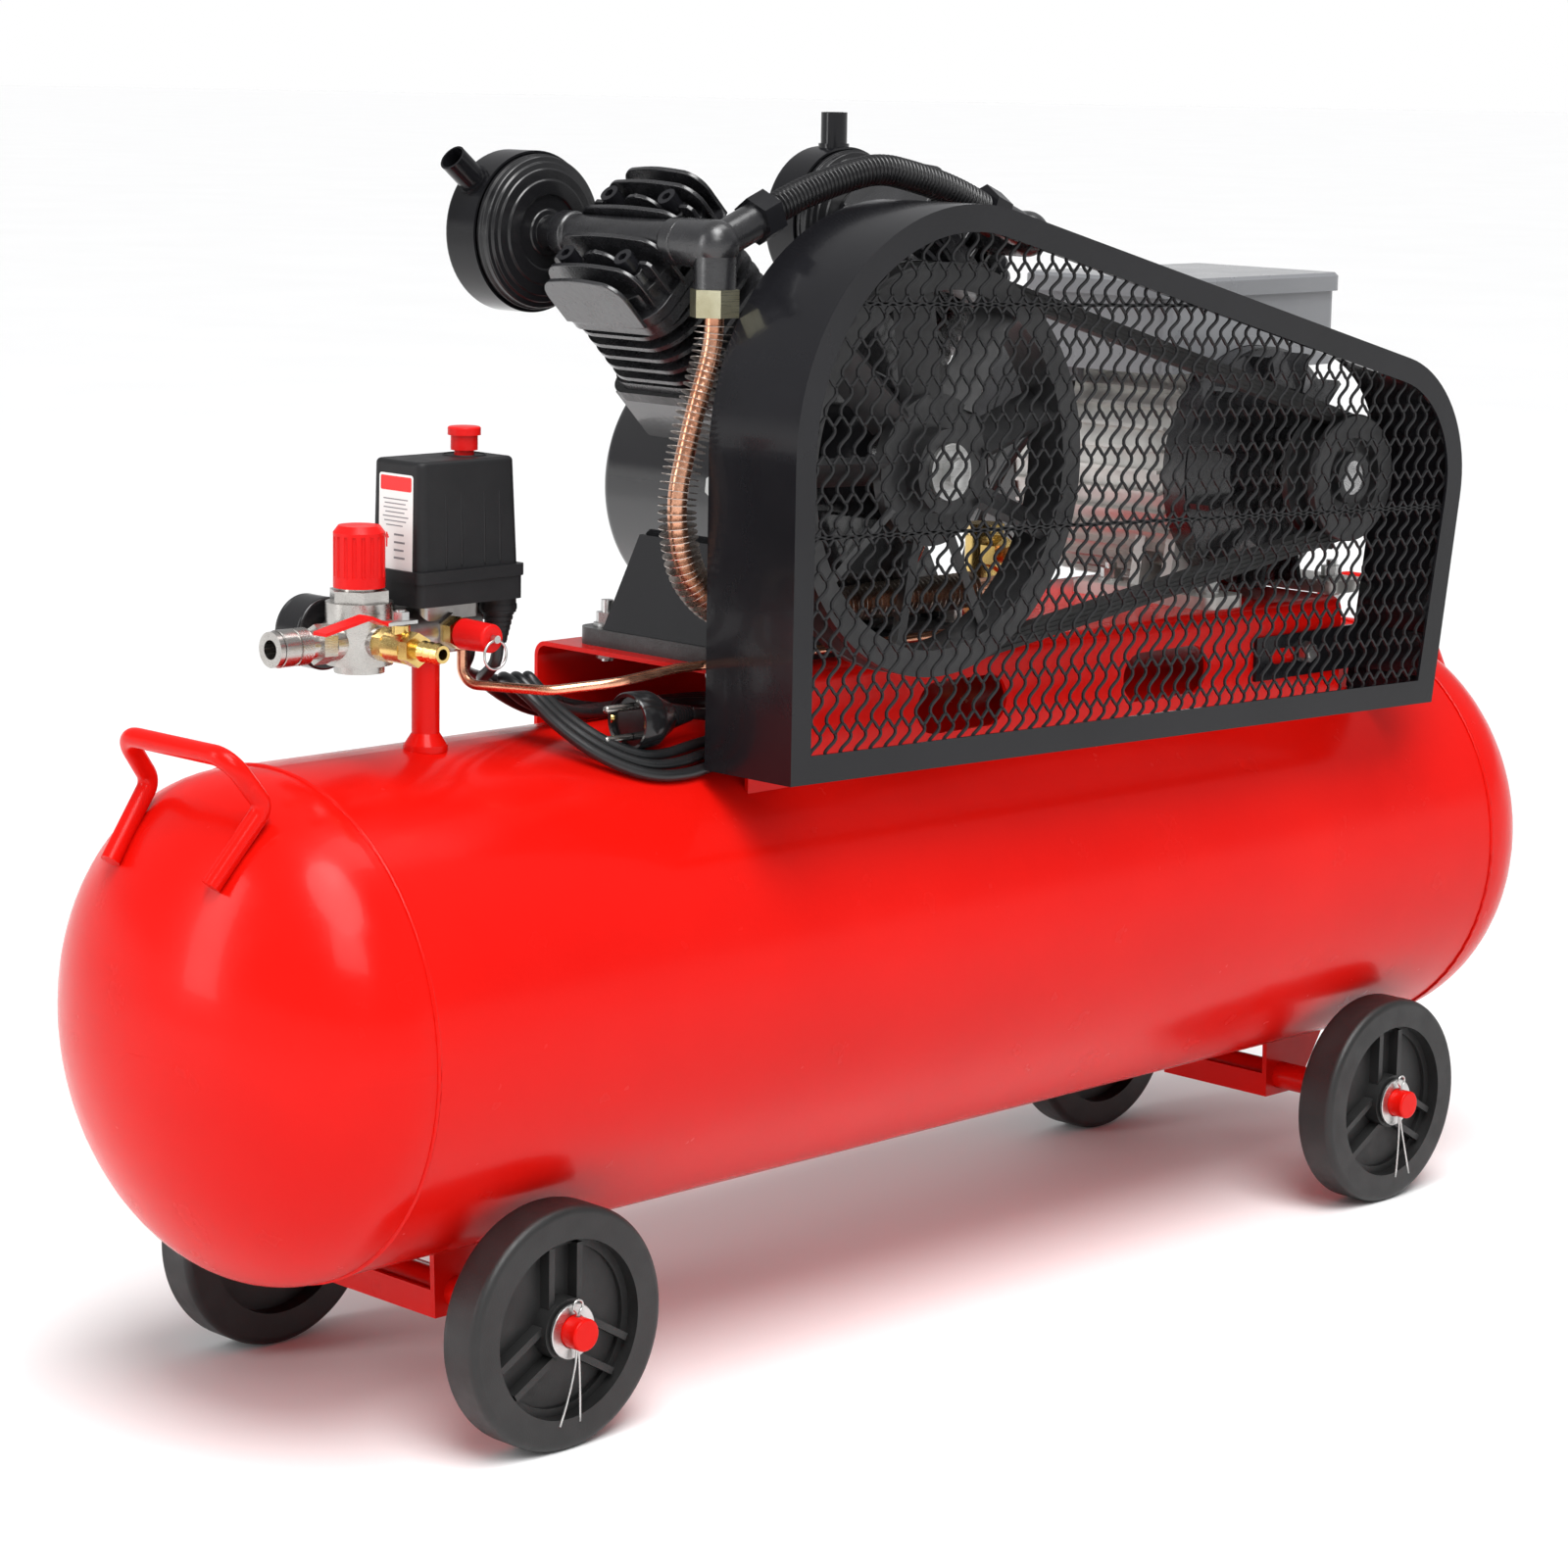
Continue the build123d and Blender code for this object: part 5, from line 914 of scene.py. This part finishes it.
# ---------------------------------------------------------------- filter backs
def filter_backs():
    """Stepped pressed faces of the two intake filters, with the short stub to the head."""
    profile = [(7, 0), (48.4, 0), (49, 0.6), (49, 3.6), (47.8, 4.3), (47.8, 8.2), (47.0, 9.0), (44.6, 9.3)]
    profile += [(43.6, 10.7), (40.4, 11.1), (39.5, 12.2), (33.6, 12.5), (32.6, 13.7), (24, 13.9), (23, 12.4)]
    profile += [(15, 12.4), (14, 13.4)]
    profile += [(11, 14), (11, 26.3), (7, 26.3), (7, 0)]
    for name, port in (("left", PORT_LEFT), ("right", PORT_RIGHT)):
        bm = bmesh.new()
        turned(bm, profile, frame_at((port, 85, PORT_Z), (0, -1, 0)), 96)
        back = add_piece(f"filter_back_{name}", mesh_from(bm, "filter_back"), GLOSS_PLASTIC, "frame")
        smooth_by_angle(back, 28)
        bevelled(back, 0.4, 2, 28)
        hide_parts("filter_backs")


filter_backs()


# ---------------------------------------------------------------- wheels' washers and cotter pins
def axle_trim():
    """Zinc washers with broken edges and long cotter pins with spread legs."""
    washers, pins = bmesh.new(), bmesh.new()
    for ax in (-402.0, 402.0):
        for side in (-1, 1):
            for inner, outer in ((153.0, 155.5), (115.5, 118.0)):
                place = frame_at((ax, side * inner, 75), (0, side, 0))
                wide = outer - inner
                profile = [(10.2, 0), (16.6, 0), (17, 0.4), (17, wide - 0.5), (16.4, wide), (10.6, wide)]
                profile.append((10.2, wide - 0.4))
                turned(washers, profile + profile[:1], place, 48)
            y = side * 159.0
            for leg in (-1, 1):
                spread = 13.0 if leg * ax > 0 else 1.5
                line = []
                for k in range(17):
                    angle = math.radians(90 - leg * 150 * k / 16)
                    line.append(Vector((ax + 3.6 * math.cos(angle), y, 91.5 + 3.6 * math.sin(angle))))
                line += [Vector((ax + leg * 0.75, y, 86)), Vector((ax + leg * 0.75, y, 64))]
                for k in range(1, 7):
                    share = k / 6
                    sway = side * 0.6 * math.sin(3 * share)
                    line.append(Vector((ax + leg * (0.75 + spread * share ** 1.3), y + sway, 64 - 44 * share)))
                tube_along(pins, line, 0.75, 8)
    rings = add_piece("axle_washers", mesh_from(washers, "washers"), ZINC, "frame")
    smooth_by_angle(rings, 30)
    legs = add_piece("cotter_pins", mesh_from(pins, "cotters"), ZINC, "frame")
    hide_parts("axle_hardware")
    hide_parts("axle_hardware")


axle_trim()


# ---------------------------------------------------------------- pressure switch details
SWITCH_X = -380.0
COVER_LOW, COVER_HIGH = (508.2, 39.5, 23.5, 0.0), (580.0, 37.5, 22.0, -1.0)   # height, half width, half depth, shift


def cover_face_y(z):
    """Y of the cover's front face at a height."""
    share = (z - COVER_LOW[0]) / (COVER_HIGH[0] - COVER_LOW[0])
    return -11 - (COVER_LOW[2] + (COVER_HIGH[2] - COVER_LOW[2]) * share)


def cover_face_x(z):
    """X of the cover's left face at a height."""
    share = (z - COVER_LOW[0]) / (COVER_HIGH[0] - COVER_LOW[0])
    return SWITCH_X + COVER_HIGH[3] * share - (COVER_LOW[1] + (COVER_HIGH[1] - COVER_LOW[1]) * share)


def switch_details():
    """Ribs on the cover, a round mark on its top and a printed label with a red header and an arrow."""
    bm = bmesh.new()
    low, high = 516.5, 562.0
    for x in (-399, -387, -369, -357):
        line = [Vector((x, cover_face_y(z) + 0.45, z)) for z in (low, low + 2, (low + high) / 2, high - 3, high)]
        tube_along(bm, line, [0.5, 1.0, 1.0, 0.7, 0.3], 10)
    add_piece("switch_cover_ribs", mesh_from(bm, "ribs"), PLASTIC, "frame")
    bm = bmesh.new()
    angles = [math.radians(9 * k) for k in range(40)]
    ring = [Vector((-364 + 13.0 * math.cos(a), -9 + 13.0 * math.sin(a), 580.1)) for a in angles]
    tube_along(bm, ring, 0.55, 8, closed=True)
    add_piece("switch_cover_ring", mesh_from(bm, "ring"), PLASTIC, "frame")

    def sticker(name, y0, y1, z0, z1, lift, material, radius=0.0):
        bm = bmesh.new()
        corners = round_outline(y1 - y0, z1 - z0, max(radius, 0.3), 4)
        front, back = [], []
        for u, v in corners:
            y, z = (y0 + y1) / 2 + u, (z0 + z1) / 2 + v
            front.append(bm.verts.new(Vector((cover_face_x(z) - lift, y, z)) * MM))
            back.append(bm.verts.new(Vector((cover_face_x(z) + 0.3, y, z)) * MM))
        bm.faces.new(front)
        bm.faces.new(list(reversed(back)))
        for k in range(len(front)):
            n = (k + 1) % len(front)
            bm.faces.new([front[k], back[k], back[n], front[n]])
        return add_piece(name, mesh_from(bm, name), material, "frame", False)

    sticker("label", -27, 4, 513, 572, 0.15, WHITE, 2.0)
    sticker("label_header", -25.6, 2.6, 562, 570.6, 0.25, RED_PRINT, 1.2)
    for row in range(7):
        inset = (1.5, 3.5, 2.0, 4.5, 1.0, 3.0, 6.0)[row]
        base = 556.6 - 2.6 * row
        top = 557.3 - 2.6 * row
        sticker(f"label_rule_{row}", -24 + inset, 1 - inset * 0.6, base, top, 0.22, GREY_PRINT)
    sticker("label_arrow_stem", -4.1, -2.7, 528, 533.5, 0.25, RED_PRINT)
    for k in range(3):
        half = (1.9, 1.3, 0.6)[k]
        base = 533.4 + 1.1 * k
        top = 534.6 + 1.1 * k
        sticker(f"label_arrow_{k}", -3.4 - half, -3.4 + half, base, top, 0.25, RED_PRINT)
    for row in range(4):
        base = 535.4 - 4.6 * row
        top = 536.6 - 4.6 * row
        sticker(f"label_mark_{row}", -19 - row % 2, -10, base, top, 0.22, GREY_PRINT)


switch_details()


# ---------------------------------------------------------------- gauges
GAUGE_Z = 476.0


def gauge_faces():
    """White dials with plain ticks and no figures, and a bezel round each."""
    for index, x in enumerate((-449.0, -396.0)):
        place = frame_at((x, 31.35, GAUGE_Z), (0, 1, 0), (0, 0, 1))
        bm = bmesh.new()
        turned(bm, [(0.0, 0.25), (19.4, 0.25), (19.4, 0.0)], place, 64)
        add_piece(f"gauge_dial_{index + 1}", mesh_from(bm, "dial"), WHITE, "frame", False)
        bm = bmesh.new()
        for k in range(31):
            angle = math.radians(-135 + 9 * k)
            long_tick = k % 5 == 0
            inner, outer, half = (13.2, 17.6, 0.42) if long_tick else (15.6, 17.6, 0.2)
            spin = place @ Matrix.Rotation(angle, 4, "Z") @ Matrix.Translation((0, 0, 0.25))
            prism(bm, [(inner, -half), (outer, -half), (outer, half), (inner, half)], 0.12, spin)
        add_piece(f"gauge_ticks_{index + 1}", mesh_from(bm, "ticks"), PLASTIC, "frame", False)
        bm = bmesh.new()
        rim = [(20.0, 4.6), (22.05, 4.9), (22.05, 6.6), (20.6, 7.0), (19.4, 6.2), (19.4, 4.4), (20.0, 4.6)]
        turned(bm, rim, frame_at((x, 31.0, GAUGE_Z), (0, 1, 0)), 64)
        add_piece(f"gauge_bezel_{index + 1}", mesh_from(bm, "bezel"), GLOSS_PLASTIC, "frame")


gauge_faces()


# ---------------------------------------------------------------- coupler sleeve with knurling
def knurled_sleeve():
    """Sliding sleeve of the quick coupler: a knurled grip, a groove and a plain collar."""
    x0, length, steps = -490.1, 21.0, 96
    rows = 64
    bm = bmesh.new()
    place = frame_at((x0, -14.0, 476.0), (-1, 0, 0))
    rings = []
    for r in range(rows + 1):
        h = length * r / rows
        ring = []
        for k in range(steps):
            angle = 2 * math.pi * k / steps
            radius = 11.15
            if 9.2 < h < 11.2:
                radius = 10.4
            elif 1.2 < h < 9.0:
                wave = abs(math.sin(16 * angle + 1.5 * h)) + abs(math.sin(16 * angle - 1.5 * h))
                radius = 11.2 - 0.28 * (2 - wave)
            elif h < 0.6 or h > 20.4:
                radius = 10.7
            ring.append(bm.verts.new(place @ Vector((radius * math.cos(angle), radius * math.sin(angle), h)) * MM))
        rings.append(ring)
    bore = 8.95
    for h in (length, 0.0):
        ring = []
        for k in range(steps):
            angle = 2 * math.pi * k / steps
            ring.append(bm.verts.new(place @ Vector((bore * math.cos(angle), bore * math.sin(angle), h)) * MM))
        rings.append(ring)
    for a, b in zip(rings, rings[1:] + rings[:1]):
        for k in range(steps):
            bm.faces.new([a[k], a[(k + 1) % steps], b[(k + 1) % steps], b[k]])
    piece = add_piece("knurled_sleeve", mesh_from(bm, "knurled_sleeve"), NICKEL, "sleeve")
    smooth_by_angle(piece, 50)
    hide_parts("coupler_sleeve")


knurled_sleeve()
